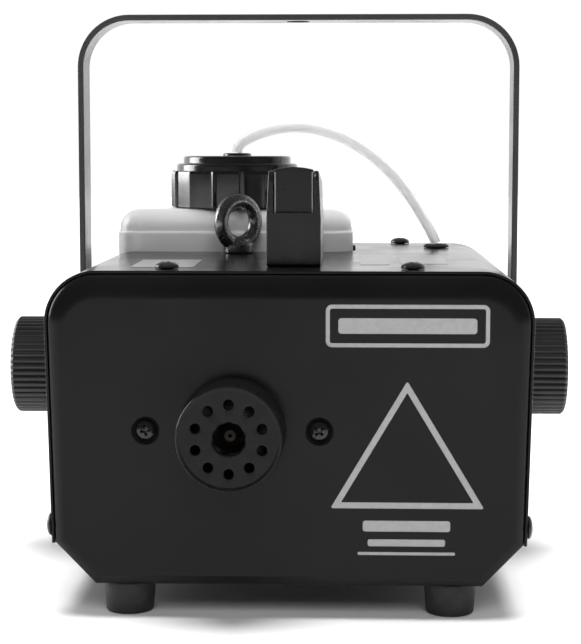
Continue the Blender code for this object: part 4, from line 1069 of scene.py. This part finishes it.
def draft_cheeks(obj):
    """Leans the sides in by 0.9 mm above the front wall."""
    middle = at(HOLDER_X, 0, 0).x
    start, end = at(0, 0, HOLDER_LEDGE - 2).z, at(0, 0, HOLDER_TALL).z
    bm = bmesh.new()
    bm.from_mesh(obj.data)
    levels = [start + (end - start) * k / 4 for k in range(5)]
    for level in levels[:-1]:
        every = bm.verts[:] + bm.edges[:] + bm.faces[:]
        bmesh.ops.bisect_plane(bm, geom=every, plane_co=(0, 0, level), plane_no=(0, 0, 1))
    for v in bm.verts:
        share = min(1.0, max(0.0, (v.co.z - start) / (end - start)))
        v.co.x -= (0.9 * MM) * share * (1 if v.co.x > middle else -1)
    bm.to_mesh(obj.data)
    bm.free()


def make_remote():
    """The hand remote: a rounded slab with a domed top that slopes to the rear, and a round button."""
    half = HOLDER_WIDE / 2 - HOLDER_WALL - GAP
    back = (HOLDER_BACK0 + 2.7, HOLDER_BACK1 - 2.7)
    slope = (REMOTE_TOP - REMOTE_TOP_REAR) / (back[1] - back[0])
    reach = (half**2 + REMOTE_DOME**2) / (2 * REMOTE_DOME)
    low = 2.6
    rings = []
    steps = [(back[0], 0.55), (back[0] + 0.2, 0.2), (back[0] + 0.6, 0.0), (back[1] - 0.6, 0.0)]
    steps += [(back[1] - 0.2, 0.2), (back[1], 0.55)]
    for level, depth in steps:
        top = REMOTE_TOP - slope * (level - back[0])
        across = [half * k / 10 for k in range(10, -11, -1)]
        dome = [(x, top - reach + sqrt(reach**2 - x**2)) for x in across]
        outline = soft([(-half, low), (half, low), *dome], 1.0, 4, True)
        outline = inset(outline, depth) if depth else outline
        rings.append([at(HOLDER_X + x, level, up) for x, up in outline])
    case = loft("hand_remote", rings[::-1], smooth=40)
    deck = REMOTE_TOP - slope * (BUTTON_BACK - back[0])
    wide = BUTTON_R + 0.4
    well = [(0, 6), (wide + 1.2, 6), (wide + 0.8, 0.6), (wide, -0.4), (wide, -7), (0, -7)]
    tools = [turned("well", well, (HOLDER_X, BUTTON_BACK, deck - 0.2), UPWARD)]
    tools.append(rod("cord_hole", 2.2, (-8, 8), (HOLDER_X, back[1], 12), REARWARD))
    cut(case, *tools)
    piece(case, "black_plastic", "remote", "black_plastic", "remote_case")
    # Two thin light-grey strips down the side edges of the remote's front: painted highlights for the light
    # on its rounded edges.
    for side, word in SIDES:
        across = sorted((HOLDER_X + side * (half - 0.75), HOLDER_X + side * (half - 0.1)))
        upright = (low + 1.2, REMOTE_TOP - REMOTE_DOME - 1.0)
        lit_edge_strip = block(f"painted_edge_highlight_{word}", across, (back[0] - 0.12, back[0] + 0.5), upright, 0.1)
        piece(lit_edge_strip, "painted_highlight_grey", "remote", "black_plastic")
    cap = [(0, 0.9), (2.4, 0.95), (3.6, 1.15), (4.2, 0.9), (BUTTON_R, 0.3), (BUTTON_R, -4.0), (0, -4.0)]
    button = turned("push_button", soft(cap, 0.4, 3), (HOLDER_X, BUTTON_BACK, deck), UPWARD)
    piece(button, "black_plastic", "remote_button", "black_plastic", "remote_button")


# ---- rear panel


def make_inlet():
    face = DEPTH + GAP
    inlet = block("mains_inlet", about(INLET_X, 13.5), (DEPTH - 20, face + 1), about(INLET_UP, 10))
    edge = rounded(about(INLET_X, 25), about(INLET_UP, 12), 3, 6)
    join(inlet, prism("flange", edge, "Y", (face, face + 2.7), 0.6))
    cavity = rounded(about(INLET_X, 12), about(INLET_UP, 8.2), 2.2, 6)
    tools = [prism("cavity", cavity, "Y", (DEPTH - 14, DEPTH + 8))]
    for side in (-1, 1):
        hole = [(0, 3), (3.4, 3), (3.4, 1.8), (1.7, 0.2), (1.7, -8), (0, -8)]
        tools.append(turned("ear", hole, (INLET_X + side * 20, face + 1, INLET_UP), REARWARD, 32))
    cut(inlet, *tools)
    piece(inlet, "black_plastic", "machine", "black_plastic", "power_inlet")
    for i, (x, up) in enumerate(((-7, -2), (7, -2), (0, 2))):
        x, up = about(INLET_X + x, 1), about(INLET_UP + up, 2)
        blade = block(f"inlet_blade_{i}", x, (DEPTH - 16, DEPTH - 3), up, 0.4)
        piece(blade, "zinc_steel", "machine", "zinc_steel")
    for side, word in SIDES:
        head = [(0, 1.2), (1.6, 1.1), (3.0, 0.4), (3.2, 0.0), (1.6, -1.4), (1.6, -4.0), (0, -4.0)]
        spot = (INLET_X + side * 20, face + 1.6, INLET_UP)
        screw = turned(f"inlet_screw_{word}", head, spot, (0, 1, 0), 32, smooth=50)
        cut(screw, cross_recess("recess", 1.7, 1.0, (spot[0], spot[1] + 1.2, spot[2]), REARWARD, 0.4 * side))
        piece(screw, "zinc_steel", "machine", "zinc_steel")


def make_switch():
    face = DEPTH + GAP
    housing = block("rocker_housing", about(SWITCH_X, 9.4), (DEPTH - 16, face + 1), about(SWITCH_UP, 6.4))
    edge = rounded(about(SWITCH_X, 11), about(SWITCH_UP, 7.8), 1.5, 5)
    join(housing, prism("rim", edge, "Y", (face, face + 2.0), 0.6))
    cavity = rounded(about(SWITCH_X, 8.4), about(SWITCH_UP, 5.4), 0.6, 3)
    cut(housing, prism("cavity", cavity, "Y", (DEPTH - 8, DEPTH + 8)))
    piece(housing, "black_plastic", "machine", "black_plastic", "switch_housing")
    flat = [(-7.5, 4.0), (-5.5, -3.0), (0, -4.0), (5.5, -3.0), (7.5, 4.0), (0, 3.0)]
    tip = radians(-SWITCH_TRAVEL / 2)
    outline = []
    for x, back in soft(flat, 0.8, 4, True):
        turned_x, turned_back = x * cos(tip) - back * sin(tip), x * sin(tip) + back * cos(tip)
        outline.append((SWITCH_X + turned_x, DEPTH - 1 + turned_back))
    rocker = prism("power_rocker", outline, "Z", about(SWITCH_UP, 5.0), 0.4)
    piece(rocker, "switch_red", "rocker", "switch_red", "switch_rocker")


def make_socket():
    """A round chassis socket for the remote, with a ring nut and pins."""
    face = DEPTH + GAP
    profile = [(0, -6), (6.0, -6), (6.0, 2.6), (8.4, 2.6), (9.2, 2.2), (9.8, 1.4), (9.8, 0), (7.7, 0)]
    profile += [(7.7, -13), (0, -13)]
    centre = (SOCKET_X, face, SOCKET_UP)
    socket = turned("remote_jack", soft(profile, 0.3, 2), centre, (0, 1, 0), 64)
    piece(socket, "black_plastic", "machine", "black_plastic", "remote_socket")
    for i in range(3):
        turn = tau * (i - 1) / 5 + pi
        spot = (SOCKET_X + 3.2 * sin(turn), DEPTH - 2.5, SOCKET_UP + 3.2 * cos(turn))
        profile = [(0, 0), (0.5, 0), (0.7, -0.4), (0.7, -6.5), (0, -6.5)]
        pin = turned(f"jack_pin_{i}", profile, spot, REARWARD, 20)
        piece(pin, "brass", "machine", "brass")


# ---- graphics on the front


def print_shape(name, outline, holes=()):
    """A thin printed shape on the front panel, its outline as (x, up)."""
    shape = prism(name, outline, "Y", (-0.09, 0.05))
    if holes:
        cut(shape, *[prism("hole", hole, "Y", (-1, 1)) for hole in holes])
    piece(shape, "print_grey", "machine", "powder_coat")


def make_graphics():
    """A plain badge bar, a plain triangle outline and blank bars under it."""
    badge = rounded((15, 80), (-30, -13), 2.5, 6)
    for name, x, back in TOP_LABELS:
        label = prism(name, rounded(x, back, 1.0, 4), "Z", (-0.05, 0.1))
        piece(label, "label_grey", "machine", "powder_coat")
    print_shape("badge", badge, [inset(badge, 1.6)])
    print_shape("badge_bar", rounded((20, 75), (-24.6, -18.4), 1.2, 5))
    triangle = [(17.0, -95.0), (78.5, -95.0), (47.5, -43.5)]
    print_shape("triangle", soft(triangle, 1.2, 4, True), [soft(inset(triangle, 2.4), 0.5, 3, True)])
    print_shape("bar_wide", rounded((30, 65), (-104.4, -100.0), 1.0, 4))
    print_shape("bar_middle", rounded((32, 63), (-110.4, -107.6), 0.8, 4))
    print_shape("bar_thin", rounded((28, 67), (-114.0, -112.8), 0.4, 3))


# ---- inside


def dress_the_rest():
    """Every CAD node that still shows gets its slot's finish and smooth round sides."""
    slots = {s["node"]: s["material_slot"] for s in frame["record"]["subparts"]}
    for name, obj in frame["nodes"].items():
        if obj.hide_render:
            continue
        dress(obj, slots[name])
        obj.data.shade_smooth()
        obj.data.set_sharp_from_angle(angle=radians(40))


# ---- studio


def make_studio():
    low, high = [[(x, y, z) for x, y in ((-6, -6), (6, -6), (6, 6), (-6, 6))] for z in (-0.01, -0.0002)]
    floor = dress(loft("floor", [low, high]), "floor_paint")
    lamp("left", (-1.2, 0.30, 0.52), (0, 0.05, 0.2), (0.7, 0.76), 20).visible_diffuse = False
    lamp("fill", (0.2, -1.6, 1.3), (0, 0.0, 0.1), (1.0, 1.0), 17).visible_glossy = False
    sun = bpy.data.lights.new("over", "SUN")
    sun.energy = 5.4
    sun.angle = radians(36)
    over = bpy.data.objects.new("over", sun)
    over.visible_glossy = False
    bpy.context.scene.collection.objects.link(over)
    make_world()
    bpy.context.scene.view_settings.view_transform = "Standard"


def lamp(name, place, target, size, power):
    data = bpy.data.lights.new(name, "AREA")
    data.shape = "RECTANGLE"
    data.size, data.size_y = size
    data.energy = power
    light = bpy.data.objects.new(name, data)
    light.location = place
    light.rotation_euler = (Vector(target) - Vector(place)).to_track_quat("-Z", "Y").to_euler()
    bpy.context.scene.collection.objects.link(light)
    return light


def make_world():
    """White to the eye; as light it is bright low behind the object, and dim above and in front."""
    world = bpy.data.worlds.new("studio")
    bpy.context.scene.world = world
    world.use_nodes = True
    tree = world.node_tree
    add, wire = tree.nodes.new, tree.links.new
    eye = tree.nodes["Background"]
    eye.inputs["Color"].default_value = (1.0, 1.0, 1.0, 1.0)
    eye.inputs["Strength"].default_value = 1.02
    light = add("ShaderNodeBackground")
    split = add("ShaderNodeSeparateXYZ")
    wire(add("ShaderNodeTexCoord").outputs["Generated"], split.inputs[0])
    shares = []
    for part, start, end, low, high in (("Y", -0.3, 0.6, 0.0, 1.0), ("Z", 0.3, 0.8, 1.0, 0.1)):
        step = add("ShaderNodeMapRange")
        step.interpolation_type = "SMOOTHSTEP"
        for socket, value in (("From Min", start), ("From Max", end), ("To Min", low), ("To Max", high)):
            step.inputs[socket].default_value = value
        wire(split.outputs[part], step.inputs["Value"])
        shares.append(step.outputs["Result"])
    both, level = add("ShaderNodeMath"), add("ShaderNodeMath")
    both.operation, level.operation = "MULTIPLY", "MULTIPLY_ADD"
    wire(shares[0], both.inputs[0])
    wire(shares[1], both.inputs[1])
    level.inputs[1].default_value, level.inputs[2].default_value = SKY_GAIN, SKY_BASE
    wire(both.outputs[0], level.inputs[0])
    wire(level.outputs[0], light.inputs["Strength"])
    mix = add("ShaderNodeMixShader")
    wire(add("ShaderNodeLightPath").outputs["Is Camera Ray"], mix.inputs["Fac"])
    wire(light.outputs[0], mix.inputs[1])
    wire(eye.outputs[0], mix.inputs[2])
    wire(mix.outputs[0], tree.nodes["World Output"].inputs["Surface"])


make_camera()
make_hose()
make_chassis()
make_cover()
make_screws()
make_feet()
make_outlet()
make_handle()
make_clamps()
make_tank()
make_cap()
make_grommet()
make_eyebolt()
make_holder()
make_remote()
make_inlet()
make_switch()
make_socket()
make_graphics()
dress_the_rest()
make_studio()
